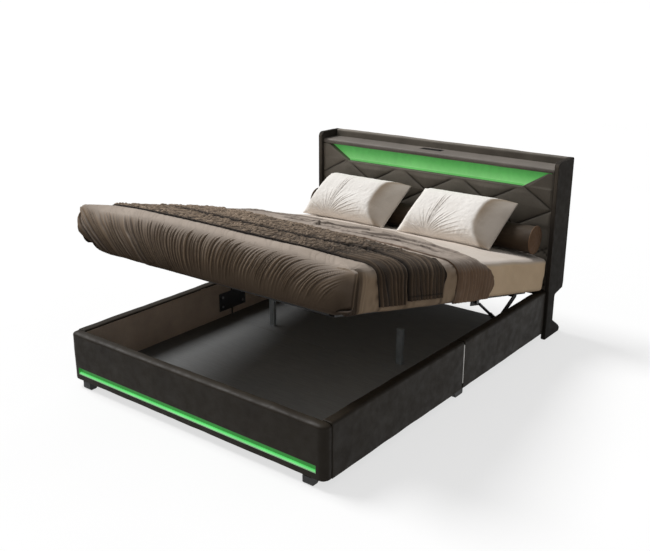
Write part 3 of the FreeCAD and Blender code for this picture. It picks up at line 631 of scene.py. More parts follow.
def quilt_grid():
    """Grid lines of the quilt, close together where it rolls into the recess."""
    roll = np.array([-1.0, -0.85, -0.6, -0.35, -0.15, -0.04, 0.0]) * RECESS_ROUND
    wall = np.concatenate([roll, [0.0006]])
    us = spaced(-HEAD_HALF, HEAD_HALF, 0.0042)
    us = us[np.abs(np.abs(us) - (RECESS_HALF - 0.003)) > 0.009]
    us = np.sort(np.concatenate([us, RECESS_HALF - wall, wall - RECESS_HALF]))
    zs = np.concatenate([spaced(QUILT_LOW, 0.600, 0.012)[:-1],
                         spaced(0.600, RECESS_LOW - RECESS_ROUND, 0.0042)[:-1],
                         RECESS_LOW + wall, spaced(RECESS_LOW + 0.004, QUILT_HIGH, 0.006)])
    return np.meshgrid(us, zs, indexing="ij")


def quilt():
    u, z = quilt_grid()
    r = RECESS_ROUND
    edge = RECESS_HALF + RECESS_SLOPE * np.maximum(z - RECESS_LOW, 0.0)
    beside = (np.abs(u) - RECESS_HALF) * (HEAD_HALF - edge) / (HEAD_HALF - RECESS_HALF)
    x = np.where(np.abs(u) <= RECESS_HALF, u * edge / RECESS_HALF, np.sign(u) * (edge + beside))
    inside = np.minimum(RECESS_HALF - np.abs(u), z - RECESS_LOW)
    step_back = np.where(inside > 0.0003, RECESS_DEPTH,
                         r - np.sqrt(np.maximum(r * r - np.clip(inside + r, 0, r) ** 2, 0.0)))
    above = ease((z - 0.880) / 0.006)
    near = seam_distance(x, z) + above * 0.2
    groove = bell(near, 0.0045)
    puff = 1.0 - np.exp(-near / 0.034)
    rim = ease((HEAD_HALF - np.abs(x)) / 0.02) * ease((z - QUILT_LOW) / 0.02)
    flat = ease(-(inside + r) / 0.03)
    pucker = noise(x * 60, z * 60, 5) * np.exp(-near / 0.012) * 0.0006
    # fuller where it is seen, and flatter behind the bolster
    full = 0.35 + 0.65 * ease((z - 0.645) / 0.04)
    bulge = (0.0085 * puff * full - 0.0055 * groove + pucker) * rim * flat * (1 - 0.6 * above)
    ripple = 0.0008 * noise(x * 14, z * 18, 8) * flat
    y = QUILT_FACE + 0.002 - bulge - ripple + step_back
    quads = grid_quads(np.arange(u.size).reshape(u.shape))
    back = (step_back.reshape(-1)[quads] > RECESS_DEPTH - 0.001).all(1)
    # painted shade in the seam grooves
    shade = 1.0 - 0.75 * groove * flat
    make_piece("headboard_quilt_cover", np.stack([x, y, z], -1).reshape(-1, 3), quads[~back], "head_leather",
               "root", "headboard_quilt", shade.reshape(-1))


# The outline of a headboard side, as corners (length along the bed, height) with their radii.
WING_FRONT, WING_BACK = 2.044, 2.245
WING_OUTLINE = [((WING_FRONT, 0.0), 0.010), ((WING_FRONT, HEAD_TOP), 0.030), ((WING_BACK, HEAD_TOP), 0.011),
                ((WING_BACK, 0.304), 0.012), ((2.237, 0.274), 0.010), ((2.137, 0.256), 0.012),
                ((2.137, 0.100), 0.012), ((2.2225, 0.045), 0.012), ((WING_BACK, 0.0225), 0.009),
                ((2.237, 0.0), 0.009)]
WING_OUT = 0.835
PIPING_RADIUS = 0.0023


def filleted(corners, step=0.012):
    """A closed outline with round corners, in even short steps."""
    points = []
    for k, (corner, radius) in enumerate(corners):
        c = np.array(corner)
        a = np.array(corners[k - 1][0]) - c
        b = np.array(corners[(k + 1) % len(corners)][0]) - c
        a, b = a / np.linalg.norm(a), b / np.linalg.norm(b)
        half = math.acos(np.clip(a @ b, -1, 1)) / 2
        reach = radius / math.tan(half)
        middle = c + (a + b) / np.linalg.norm(a + b) * radius / math.sin(half)
        start, end = c + a * reach - middle, c + b * reach - middle
        turn = math.atan2(start[0] * end[1] - start[1] * end[0], start @ end)
        for t in np.linspace(0, 1, 7):
            ca, sa = math.cos(turn * t), math.sin(turn * t)
            points.append(middle + (start[0] * ca - start[1] * sa, start[0] * sa + start[1] * ca))
    ring = []
    for p, q in zip(points, points[1:] + points[:1]):
        pieces = max(1, int(np.linalg.norm(q - p) / step))
        ring.extend(p + (q - p) * t for t in np.arange(pieces) / pieces)
    return np.array(ring)


def inset(line, distance, closed=False):
    """An outline moved inward by a distance."""
    ahead = heading(line, closed)
    return line + np.stack([ahead[:, 1], -ahead[:, 0]], -1) * distance


def upright(x, line):
    """Points of an outline that stands across the bed's length at the given x."""
    return np.stack([np.full(len(line), x), line[:, 0] + FOOT_Y, line[:, 1]], -1)


def wings():
    ring = filleted(WING_OUTLINE)
    turn = np.linspace(0, math.pi / 2, 5)
    inner = [(0.005 * (1 - math.sin(t)), HEAD_HALF + 0.005 * (1 - math.cos(t))) for t in turn]
    outer = [(0.006 * (1 - math.cos(t)), WING_OUT - 0.006 * (1 - math.sin(t))) for t in turn]
    stations = [(0.006, HEAD_HALF)] + inner + outer + [(0.0072, WING_OUT)]
    # the piping runs up the front edge and back along the top
    piped = ring[(ring[:, 0] < 2.20) & (ring[:, 1] > 0.30) & ((ring[:, 0] < 2.05) | (ring[:, 1] > 1.0))]
    piped = piped[np.argsort(piped[:, 1] + piped[:, 0])]
    for side, sign in SIDES:
        points = np.concatenate([upright(sign * x, inset(ring, depth, True)) for depth, x in stations])
        # painted highlight: the front edge is painted lighter towards its top, and the rest of the side is
        # painted in shade
        painted_rim_light = ease((WING_FRONT + 0.008 + FOOT_Y - points[:, 1]) / 0.007) * ease((points[:, 2] - 0.62) / 0.30)
        shade = 0.16 + 0.55 * painted_rim_light * ease((WING_OUT - 0.001 - np.abs(points[:, 0])) / 0.004)
        faces = capped(ring_ids(len(stations), len(ring)), sign < 0, (0, -1))
        make_piece(f"headboard_wing_{side}", points, faces, "wing_leather", "root",
                   f"headboard_side_{side}", shade)
        for edge, x, depth in (("outer", WING_OUT - 0.0022, 0.0022), ("inner", HEAD_HALF + 0.0022, 0.0018)):
            bead, quads = tube(upright(sign * x, inset(piped, depth)), PIPING_RADIUS)
            make_piece(f"wing_piping_{edge}_{side}", bead, quads, "piping", "root")


def headboard_boards():
    padded_board("headboard_shelf_cover", (-HEAD_HALF, 0.9395, QUILT_HIGH), (HEAD_HALF, SHELF_BACK, 1.000),
                 (0.002, 0.013, 0.013), (0.002, 0.002, 0.013), "shelf_leather",
                 "headboard_shelf", seed=31, fine=0.002, puff=0.0006,
                 window=("z1", (0, 1), *SOCKET_WINDOW))
    padded_board("headboard_top_rail_cover", (-HEAD_HALF, SHELF_BACK, 0.900), (HEAD_HALF, -FOOT_Y, HEAD_TOP),
                 (0.002, 0.010, 0.002), (0.002, 0.010, 0.012), "head_leather",
                 "headboard_top_rail", seed=33)
    padded_board("headboard_lower_board_cover", (-HEAD_HALF, QUILT_FACE, 0.256), (HEAD_HALF, 0.9775, 0.299),
                 (0.002, 0.004, 0.004), (0.002, 0.002, 0.002), "wing_leather",
                 "headboard_lower_board", seed=35)


# ---------------------------------------------------------------- bedding
def crown(x, weight):
    return CROWN * (1.0 - np.clip(np.abs(x) / CROWN_HALF, 0, 1) ** CROWN_POWER) * weight


PLEAT = 0.0205
# How far the gathered folds run sideways for each metre down, at three depths below the top edge.
FOLD_DEPTHS = (0.03, 0.10, 0.17)
FOLD_RUN = [(-0.85, (1.00, 0.90, 1.50)), (-0.60, (0.80, 1.00, 1.50)), (-0.45, (0.60, 1.00, 1.30)),
            (-0.30, (0.25, 0.65, 1.20)), (-0.15, (-0.20, 0.13, 0.75)), (0.02, (-0.36, 0.00, 0.25)),
            (0.20, (-0.60, -0.32, 0.05)), (0.40, (-1.00, -0.55, -0.20)), (0.60, (-1.45, -0.85, -0.40)),
            (0.72, (-1.90, -1.05, -0.60)), (0.86, (-2.60, -1.50, -0.90))]
FOLD_LEVEL = 0.085
FOLD_STEPS = 12
HEM_SHIFT = [(-0.84, 0.004), (-0.76, 0.0), (-0.72, -0.022), (0.10, -0.022), (0.47, -0.017), (0.72, -0.016),
             (0.755, -0.012), (0.772, 0.0), (0.84, 0.002)]
LEFT_BULGE = [(0.300, -0.033), (0.312, -0.015), (0.345, 0.017), (0.379, 0.034), (0.43, 0.034), (0.482, 0.029),
              (0.50, 0.027)]
LEFT_CREASE = [(0.29, -0.700), (0.31, -0.720), (0.40, -0.800), (0.49, -0.845)]
LEFT_TUCK = [(0.29, -0.700), (0.302, -0.735), (0.335, -0.800), (0.40, -0.860)]
# The duvet's front is a little wider than its sides. Its right end is a sharp edge with a tuck behind it.
FRONT_FLARE = 0.029
FLARE_END = (0.098, 0.110)
FRONT_SHADE = [(-0.09, 1.0), (-0.03, 0.93), (0.0, 0.70), (0.03, 0.48), (0.07, 0.35), (0.11, 0.28),
               (0.15, 0.225), (0.20, 0.175)]
DUVET_FRONT = 0.085
DUVET_REAR = 1.150
# The duvet's grid is fine over its gathered front and plain behind, and its edge is tucked under a little.
GATHERED_TO = 0.215
DUVET_COLUMNS = 761
DUVET_STEP = 0.0034
PLAIN_STEP = 0.022
DUVET_TUCK = 0.036
DUVET_HEM = 0.022


def fold_run(x, down):
    runs = [along(x, [(place, values[k]) for place, values in FOLD_RUN]) for k in range(3)]
    t = np.clip((down - FOLD_DEPTHS[0]) / (FOLD_DEPTHS[1] - FOLD_DEPTHS[0]), 0, 2)
    return np.where(t < 1, runs[0] + (runs[1] - runs[0]) * t, runs[1] + (runs[2] - runs[1]) * (t - 1))


def pleat_source(x, down):
    """Where the fold through a point of the front crosses the level at which the folds are evenly spaced."""
    source, step = x.copy(), (down - FOLD_LEVEL) / FOLD_STEPS
    for k in range(FOLD_STEPS):
        source = source - fold_run(source, down - step * (k + 0.5)) * step
    return source


def ridges(phase, seed, peak=0.40, width=0.105):
    """Crisp folds of uneven size: for each step of phase, a narrow crest with a deep valley on its right."""
    fold = np.floor(phase).astype(np.int64)
    share = phase - fold
    own = hashed(fold + 5000, fold * 0 + 3, seed)
    crest = bell(share - peak, width)
    valley = bell(share - peak - 0.27, width * 0.85)
    return crest, valley, own


def pleats(x, down):
    """Height of the gathered folds on the duvet's front, and how much of a crest and a valley a place is, for
    painted highlight and painted shade.
    """
    wander = 0.0060 * noise(x / 0.09, down / 0.12, 41) + 0.0018 * noise(x / 0.03, down / 0.05, 42)
    source = pleat_source(x + wander, down)
    flat = source * 0
    wider = source + 0.40 * np.maximum(-0.42 - source, 0.0)
    phase = wider / PLEAT + 1.2 * noise(source / 0.11, flat, 43) + 0.55 * noise(source / 0.04, flat, 44)
    crest, valley, own = ridges(phase, 45)
    fold = np.floor(phase).astype(np.int64)
    other = hashed(fold + 900, fold * 0 + 1, 46)
    begin = ease((down + 0.062 - 0.062 * other) / 0.095)
    right = ease((x + 0.25) / 0.3)
    end = 0.175 - 0.060 * right - 0.040 * hashed(fold + 70, fold * 0 + 2, 47) * right
    settle = 1.0 - (0.50 + 0.38 * right) * ease((down - end) / 0.06)
    edges = ease((0.815 - x - 0.55 * np.clip(down - 0.02, 0, 0.2)) / 0.07)
    edges = edges * ease((x - along(BED_TOP - down, LEFT_CREASE) - 0.006) / 0.022)
    reach = begin * settle * edges
    size = (0.0022 + 0.0070 * own ** 1.6) * reach
    small_crest, small_valley, small = ridges(phase * 1.9 + 0.37, 48, width=0.16)
    fine = (0.0010 + 0.0030 * small) * reach
    grown = ease((down + 0.030) / 0.070)
    height = size * (crest - 0.8 * valley) + fine * (small_crest - 0.6 * small_valley)
    height = height * (0.12 + 0.88 * grown)
    strength = (0.35 + 0.65 * own) * reach * (1.0 - 0.15 * ease((-x - 0.45) / 0.3))
    light = np.maximum(crest * strength, 0.55 * small_crest * small * reach)
    dark = np.maximum(valley * strength, 0.50 * small_valley * small * reach)
    return height, light, dark * (0.15 + 0.85 * ease((down + 0.020) / 0.090))


def duvet_radii(x, y, z):
    """Rounding along x, y and z: full along the front and the sides, and tight at the two front corners."""
    corner = ease((np.abs(x) - 0.70) / 0.12)
    front = ease((0.24 - y) / 0.12)
    upright_part = ease((0.492 - z) / 0.012)
    squarer = 1.0 - 0.45 * ease((0.350 - z) / 0.05)
    side = SHOULDER * squarer * (1 - front) + front * (SHOULDER - 0.030 - 0.020 * upright_part)
    end = (0.090 - 0.070 * corner) * squarer
    top = SHOULDER + front * (0.024 - 0.058 * corner)
    return side, end, top


def duvet_shell():
    """Grid of the duvet's top, front and sides, tucked a little way under its lower edge."""
    xs = np.linspace(-BED_HALF, BED_HALF, DUVET_COLUMNS)
    ys = np.concatenate([spaced(DUVET_FRONT, GATHERED_TO, DUVET_STEP)[:-1],
                         spaced(GATHERED_TO, DUVET_REAR, PLAIN_STEP)])

    def keep(p, face):
        tucked = (p[:, 1] < DUVET_FRONT + DUVET_TUCK) | (np.abs(p[:, 0]) > BED_HALF - DUVET_TUCK)
        return tucked | (face != "z0")
    return shell(xs, ys, spaced(BED_LOW, BED_TOP, DUVET_STEP), ("y0", "z1", "x0", "x1", "z0"), keep)


def duvet_places(x, y, z):
    """Which part of the duvet each point belongs to, and how far down the front it lies."""
    on_top, on_low = z > BED_TOP - TOUCH, z < BED_LOW + TOUCH
    at_left, at_right = x < -BED_HALF + TOUCH, x > BED_HALF - TOUCH
    down = np.where(on_top, -(y - DUVET_FRONT), BED_TOP - z)
    down = np.where(on_low, BED_TOP - BED_LOW + (y - DUVET_FRONT), down)
    return SimpleNamespace(on_top=on_top, hung=~on_top, on_low=on_low, at_right=at_right,
                           sides=at_left | at_right, down=down, front=ease((0.20 - y) / 0.05))


def duvet_relief(x, y, z, at):
    """Height of the folds over the whole duvet, and where painted highlight and painted shade go on it."""
    height, crest, dark = pleats(x, at.down)
    near_front = ease((0.116 - y) / 0.012)
    # at the right end a slot near the hem, with painted shade in it, shows where the spare cloth is tucked
    # under
    rising = z - 0.316 - 0.40 * (x - 0.766)
    slot = bell(rising, 0.0050) * ease((x - 0.752) / 0.02) * ease((0.832 - x) / 0.012) * near_front
    below = bell(rising + 0.013, 0.006) * ease((x - 0.75) / 0.03) * near_front
    height = height - 0.012 * slot * at.hung + 0.005 * below * at.hung
    # on the left the end of the front hangs smooth, with two creases down to the hem
    on_front = ease((0.30 - y) / 0.12) * at.hung
    off = x - along(z, LEFT_CREASE)
    fold = bell(off - 0.006, 0.006) * on_front * ease((z - 0.302) / 0.01)
    under = ease((0.004 - x + along(z, LEFT_TUCK)) / 0.014) * (x < -0.69) * at.hung
    under = under * ease((0.365 - z) / 0.025)
    height = height + on_front * 0.004 * bell(off + 0.012, 0.010) - 0.009 * fold - 0.014 * under
    # soft arcs fall down both sides
    sides = at.sides * ease((BED_TOP - z) / 0.06)
    arcs = np.sin(2 * math.pi * ((y + 0.06 * (BED_TOP - z)) / 0.019 + 1.2 * noise(y / 0.07, z / 0.1, 51)))
    height = height + sides * 0.0018 * arcs * ease((y - 0.115) / 0.02)
    height = height + 0.0022 * noise(x / 0.16, y / 0.12 + z / 0.12, 52) * (1 - 0.5 * at.on_top)
    # long slight wrinkles run slantwise over the top
    tension = np.abs(noise((x * 0.9 + y * 0.5) / 0.016, (y * 0.9 - x * 0.5) / 0.11, 53)) * at.on_top
    wrinkle = bell(tension, 0.16) * at.on_top
    height = height - 0.0012 * wrinkle
    return height, SimpleNamespace(crest=crest, dark=dark, slot=slot, fold=fold, under=under, wrinkle=wrinkle,
                                   arcs=sides * np.clip(arcs, 0, 1))


def shape_duvet(points, out, x, y, z, at):
    """Moves the duvet's points to its swelling outline."""
    points[:, 2] += crown(x, np.clip(out[:, 2], 0, 1))
    # the front is barrel shaped: it turns in towards the hem
    turned_in = 0.032 * np.clip((0.405 - z) / 0.105, 0, 1) ** 1.8
    points[:, 1] += turned_in * at.front * ease((BED_HALF + 0.03 - np.abs(x)) / 0.1)
    # both ends of the front reach out past the sides: softly on the left, with a sharp edge on the right
    left = ease((-x - 0.60) / 0.21) * ease((0.45 - y) / 0.30)
    points[:, 0] -= smooth_along(z, LEFT_BULGE, 0.006) * left
    behind = ease((y - FLARE_END[0]) / (FLARE_END[1] - FLARE_END[0]))
    flare = ease((x - 0.64) / 0.18) * (1 - behind) * ease((z - 0.312) / 0.02) * ease((0.505 - z) / 0.02)
    points[:, 0] += FRONT_FLARE * flare
    at_front = ease((DUVET_FRONT + 0.09 - y) / 0.04)
    points[:, 2] += smooth_along(x, HEM_SHIFT, 0.012) * ease((BED_LOW + 0.11 - z) / 0.11) * at_front


def contact_shade(x, y, z, at):
    """Painted shadow where the runner's and the blanket's edges lie on the duvet, on its top and down its
    sides.
    """
    contact = np.zeros(len(x))
    side_run = np.clip(BED_HALF - SHOULDER * (2 - math.pi / 2) + BED_TOP - z, 0.8, 1.0)
    run = np.where(at.on_top, x, np.sign(x) * side_run)
    for table, reach in ((RUNNER_FRONT, 0.008), (RUNNER_MIDDLE, 0.015), (RUNNER_REAR, 0.010),
                         (BLANKET_FRONT, 0.007)):
        near = bell(y - smooth_along(run, table, 0.02), reach)
        contact = np.maximum(contact, near * (at.on_top | at.sides))
    return contact


def duvet_shade(x, y, z, at, painted_shading):
    """The duvet's painted shade: its front darkens downwards, with light crests and dark valleys painted on.
    """
    # painted light: the front is painted lighter towards its left end
    level = along(at.down, FRONT_SHADE) + 0.30 * ease((-x - 0.20) / 0.5) * ease((0.17 - at.down) / 0.12)
    level = level + 0.35 * ease((-x - 0.74) / 0.05) * ease((0.135 - at.down) / 0.04)
    shade = 1.0 - at.front * (1.0 - np.minimum(level, 1.0))
    # painted highlight on the crests
    lit = 1.15 * painted_shading.crest * ease((0.22 - at.down) / 0.12) * at.front * (1 - shade)
    shade = shade * (1.0 - 0.80 * painted_shading.dark) + lit
    # painted shade: the front's plain right end is painted darker
    plain = ease((x - 0.68) / 0.13) * at.front * ease((at.down - 0.015) / 0.05)
    crease = at.at_right * bell(y - FLARE_END[1] + 0.001, 0.0065) * ease((BED_TOP - 0.008 - z) / 0.02)
    # painted shade in the crease behind the sharp right edge, in the slot, in the left creases and under the
    # tuck; painted shadow along the edges of the runner and blanket; painted shade in the side arcs and top
    # wrinkles
    for share, mark in ((0.48, plain), (0.9, crease), (0.85, painted_shading.slot), (0.8, painted_shading.fold),
                        (0.7, painted_shading.under), (0.75, contact_shade(x, y, z, at)), (0.22, painted_shading.arcs),
                        (0.10, painted_shading.wrinkle)):
        shade = shade * (1.0 - share * mark)
    # painted highlight along the sharp right edge, and painted shade on the underside
    edge = at.at_right * bell(y - DUVET_FRONT - 0.006, 0.004) * ease((0.49 - z) / 0.02)
    return np.clip(shade + 0.34 * edge * (z > 0.335), 0.0, 1.0) * (1.0 - 0.35 * at.on_low)


def duvet():
    p, quads = duvet_shell()
    x, y, z = p.T
    side, end, top = duvet_radii(x, y, z)
    base, out = rounded(p, (-BED_HALF, DUVET_FRONT, BED_LOW), (BED_HALF, DUVET_REAR + 1.0, BED_TOP),
                        np.stack([side, end, np.full(len(p), DUVET_HEM)], -1),
                        np.stack([side, np.zeros(len(p)), top], -1))
    at = duvet_places(x, y, z)
    height, painted_shading = duvet_relief(x, y, z, at)
    points = base + out * height[:, None]
    shape_duvet(points, out, x, y, z, at)
    piece = make_piece("duvet_cover", lift(points), quads, "satin", "platform", "duvet",
                       duvet_shade(x, y, z, at, painted_shading))


def across(s, out):
    """A point of the bedding's section at distance s from the bed's middle, out above the duvet."""
    a = np.abs(s)
    flat = BED_HALF - SHOULDER
    turn = np.clip((a - flat) / SHOULDER, 0, math.pi / 2)
    x = np.minimum(a, flat) + (SHOULDER + out) * np.sin(turn)
    z = BED_TOP - SHOULDER + (SHOULDER + out) * np.cos(turn)
    z = z - np.maximum(a - flat - SHOULDER * math.pi / 2, 0)
    return x * np.sign(s), z + crown(x, np.cos(turn))


def rimmed(low, high, count, reaches):
    """Even lines with three more past each end for a curled rim, and how far down the rim each line lies."""
    reaches = np.array(reaches)
    lines = np.concatenate([low - reaches[::-1], np.linspace(low, high, count), high + reaches])
    return lines, np.concatenate([[1.0, 0.6, 0.2], np.zeros(count), [0.2, 0.6, 1.0]])


def band(name, front, rear, hem, out, pattern, material, replaced, step, rows, rim):
    """A cloth band laid across the bed: edges from tables along it, a curled rim, and its own pattern."""
    s_lines, s_drop = rimmed(-hem, hem, round(2 * hem / step), (0.0007, 0.0015, 0.002))
    t_lines, t_drop = rimmed(0, 1, rows, (0.0, 0.0, 0.0))
    t_push = np.concatenate([[-0.002, -0.0016, -0.0008], np.zeros(rows), [0.0008, 0.0016, 0.002]])
    s, t = np.meshgrid(s_lines, t_lines, indexing="ij")
    drop = np.maximum(s_drop[:, None], t_drop[None, :])
    y0 = smooth_along(s, front, 0.02) + 0.0030 * noise(s / 0.05, s * 0, 61)
    y1 = smooth_along(s, rear, 0.02) + 0.0035 * noise(s / 0.06, s * 0, 62)
    y = y0 + (y1 - y0) * t + t_push[None, :]
    height, shade = pattern(s, y, t, y1 - y0)
    lifted = out(y) if callable(out) else out
    x, z = across(s, lifted + height * (1 - drop) - drop * rim)
    points = np.stack([x, y, z], -1).reshape(-1, 3)
    quads = grid_quads(np.arange(s.size).reshape(s.shape))
    # painted shade on the curled rim
    shade = shade * (1 - 0.7 * drop)
    return make_piece(name, lift(points), quads, material, "platform", replaced, shade.reshape(-1))


# Edges of the runner's bands and of the blanket: distance from the bed's middle, length along the bed.
RUNNER_FRONT = [(-0.98, 0.300), (-0.87, 0.262), (-0.78, 0.235), (-0.60, 0.195), (-0.40, 0.182),
                (-0.10, 0.180), (0.20, 0.165), (0.40, 0.170), (0.62, 0.200), (0.74, 0.235), (0.80, 0.262),
                (0.87, 0.283), (0.93, 0.305), (0.98, 0.323)]
RUNNER_MIDDLE = [(-0.98, 0.520), (-0.87, 0.500), (-0.78, 0.520), (-0.60, 0.500), (-0.40, 0.465),
                 (-0.20, 0.448), (0.0, 0.425), (0.30, 0.410), (0.45, 0.440), (0.62, 0.515), (0.78, 0.505),
                 (0.87, 0.504), (0.98, 0.537)]
RUNNER_REAR = [(-0.98, 0.860), (-0.87, 0.870), (-0.78, 0.920), (-0.60, 0.900), (-0.40, 0.878), (-0.20, 0.854),
               (0.0, 0.832), (0.20, 0.806), (0.40, 0.772), (0.60, 0.750), (0.72, 0.780), (0.80, 0.815),
               (0.87, 0.832), (0.98, 0.836)]
BLANKET_FRONT = [(-1.0, 0.950), (-0.87, 0.960), (-0.78, 0.900), (-0.40, 0.860), (0.0, 0.850), (0.40, 0.880),
                 (0.62, 0.865), (0.78, 0.905), (0.87, 0.962), (0.93, 0.965), (1.0, 0.950)]
BLANKET_REAR = [(-1.0, 1.430), (-0.80, 1.500), (-0.355, 1.509), (0.008, 1.596), (0.323, 1.469), (0.50, 1.320),
                (0.69, 1.185), (0.80, 1.225), (0.87, 1.335), (0.91, 1.378), (0.95, 1.373), (1.0, 1.318)]


# The knit's loops on top: their width, length and height.
LOOP_WIDE, LOOP_LONG, LOOP_HIGH = 0.0175, 0.0400, 0.0115
RIB_PITCH = 0.033


def knit_pattern(seed, front_dark, rear_dark, rise, reach):
    """Looped knit on top, which turns into gathered ribs where the band hangs down to its stitched hem. Its
    shade is painted: between the loops, in the ribs' valleys, along the band's edges and hem line, and
    towards the right.
    """
    def pattern(s, y, t, length):
        side = np.where(s > 0, ease((s - 0.60) / 0.14), ease((-s - 0.76) / 0.06))
        ahead, behind = t * length, (1 - t) * length
        margin = np.minimum(ahead, behind)
        wx = s / LOOP_WIDE + 0.9 * noise(s / 0.04, y / 0.04, seed)
        wy = y / LOOP_LONG + 0.9 * noise(s / 0.04, y / 0.05, seed + 1)
        near, second, own = cells(wx, wy, seed + 2)
        bead = np.clip(1.0 - near ** 2 * 1.4, 0, 1) * (0.30 + 0.70 * own)
        gap = ease((second - near) / 0.35)
        ruffle = LOOP_HIGH * bead * (0.30 + 0.70 * gap) + 0.0010 * noise(s / 0.007, y / 0.010, seed + 3)
        ruffle = ruffle * (0.40 + 0.60 * ease(margin / 0.012))
        wave = t * length / RIB_PITCH + 0.55 * noise(s / 0.25, t * 5, seed + 4)
        crest, valley, rib_own = ridges(wave, seed + 5, width=0.17)
        rib = (0.004 + 0.006 * rib_own) * (crest - 0.6 * valley) + 0.0012 * noise(s / 0.12, t * 60, seed + 6)
        puff = 0.004 * ease(ahead / rise) * ease(behind / 0.035)
        height = puff + (1 - side) * ruffle + side * rib
        loop = bead * (0.25 + 0.75 * gap)
        # painted shadow along the band's front and rear edges
        edge = 0.85 * np.maximum(bell(ahead, front_dark), bell(behind, rear_dark))
        patch = 1.0 - 0.25 * ease(0.5 + 1.2 * noise(s / 0.05, y / 0.03, seed + 9))
        # painted shade between the loops and in the ribs' valleys, lighter on loop tops and rib crests
        top_shade = (0.05 + 2.30 * loop ** 1.5) * (1.0 - edge) * patch
        side_shade = 0.16 + (0.12 + 0.30 * rib_own) * crest - 0.15 * valley
        # painted shade: darker towards the right
        painted_shade_rightward = 1.0 - 0.28 * ease((s + 0.35) / 0.75) - 0.36 * ease((s - 0.42) / 0.22)
        shade = (1 - side) * np.minimum(top_shade, 1.0) * painted_shade_rightward + side * side_shade * (1 - 0.5 * edge)
        # painted shade in the hem line's groove and at the band's very edges
        hem = bell(np.abs(s) - reach + 0.020, 0.0035)
        return height - 0.002 * hem, shade * (1 - 0.7 * hem) * (0.15 + 0.85 * ease(margin / 0.006))
    return pattern


def runner():
    slit = 0.008
    front_rear = [(s, y - slit) for s, y in RUNNER_MIDDLE]
    back_front = [(s, y + slit) for s, y in RUNNER_MIDDLE]
    first = band("runner_front_band", RUNNER_FRONT, front_rear, 0.975, 0.004,
                 knit_pattern(71, 0.006, 0.032, 0.030, 1.1), "knit",
                 "runner", step=0.0032, rows=125, rim=0.010)
    second = band("runner_rear_band", back_front, RUNNER_REAR, 0.962, 0.007,
                  knit_pattern(81, 0.014, 0.010, 0.010, 0.962), "knit",
                  "runner", step=0.0032, rows=125, rim=0.013)


# Folds of the blanket: points along each one, its height and its width.
FOLD_LINES = [([(-0.075, 1.01), (-0.121, 1.14), (-0.065, 1.245), (0.033, 1.34)], 0.014, 0.040),
              ([(0.219, 1.06), (0.305, 1.17), (0.434, 1.215), (0.521, 1.18), (0.655, 1.17), (0.80, 1.10)],
               0.016, 0.045),
              ([(-0.60, 1.35), (-0.476, 1.385), (-0.33, 1.39)], 0.010, 0.030),
              ([(-0.30, 1.02), (-0.12, 1.06), (0.06, 1.03)], 0.010, 0.026),
              ([(-0.75, 1.10), (-0.45, 1.19), (-0.25, 1.17)], 0.010, 0.030),
              ([(0.10, 1.02), (0.30, 1.00), (0.48, 1.05), (0.66, 1.03)], 0.009, 0.026),
              ([(0.10, 1.40), (0.30, 1.34), (0.46, 1.27)], 0.009, 0.028)]


def fold_height(s, y, line, size, width):
    """A soft fold along a line: it rises slowly on one side and drops sharply on the other, with painted
    shadow at the foot of the drop.
    """
    best = np.full(s.shape, 9.0)
    signed = np.zeros(s.shape)
    for (ax, ay), (bx, by) in zip(line, line[1:]):
        dx, dy = bx - ax, by - ay
        length = math.hypot(dx, dy)
        t = np.clip(((s - ax) * dx + (y - ay) * dy) / length ** 2, 0, 1)
        ox, oy = s - ax - t * dx, y - ay - t * dy
        d = np.hypot(ox, oy)
        cross = (dx * oy - dy * ox) / length
        nearer = d < best
        best = np.where(nearer, d, best)
        signed = np.where(nearer, cross, signed)
    rise = bell(best, width)
    fall = bell(best, width * 0.18)
    dark = np.where(signed < 0, bell(best - 0.007, 0.008), 0.0)
    return size * np.where(signed > 0, rise, fall), dark


def blanket_pattern(s, y, t, length):
    side = ease((np.abs(s) - 0.62) / 0.18)
    crumple = np.abs(noise(s / 0.055 + y / 0.2, y / 0.030, 92))
    height = 0.0035 * noise(s / 0.14, y / 0.05, 91) + 0.0060 * (0.4 - crumple) * ease((1.30 - y) / 0.2)
    # painted shade in the crumples
    shade = 1.0 - 0.40 * bell(crumple, 0.10) * ease((1.28 - y) / 0.2)
    for line, size, width in FOLD_LINES:
        rise, dark = fold_height(s, y, line, size, width)
        height = height + rise
        # painted shadow at the foot of each fold's drop
        shade = shade - 0.58 * dark
    wave = t * length / 0.034 + 0.45 * noise(s / 0.2, t * 5, 94)
    crest, valley, own = ridges(wave, 95, width=0.17)
    rib = (0.0025 + 0.0040 * own) * (crest - 0.5 * valley)
    height = height * (1 - 0.7 * side) + side * rib
    margin = t * length
    seam = bell(margin - 0.045, 0.006) * (1 - side)
    height = height - 0.003 * seam
    # painted shade in the groove along the seam
    shade = shade - 0.55 * seam
    # painted shade along the front edge, just behind its raised rim
    edge = bell(margin - 0.012, 0.006)
    height = height + 0.004 * bell(margin, 0.008)
    # painted light and shade on the ribs down the sides
    side_shade = 0.72 + 0.22 * crest - 0.40 * valley * (0.3 + 0.7 * own)
    return height, np.clip((1 - side) * shade + side * side_shade, 0.05, 1.0) * (1 - 0.35 * edge)


def blanket():
    def out(y):
        return 0.004 - 0.011 * ease((y - 1.135) / 0.10)
    piece = band("blanket_throw", BLANKET_FRONT, BLANKET_REAR, 1.000, out, blanket_pattern, "blanket",
                 "blanket", step=0.0058, rows=83, rim=0.008)


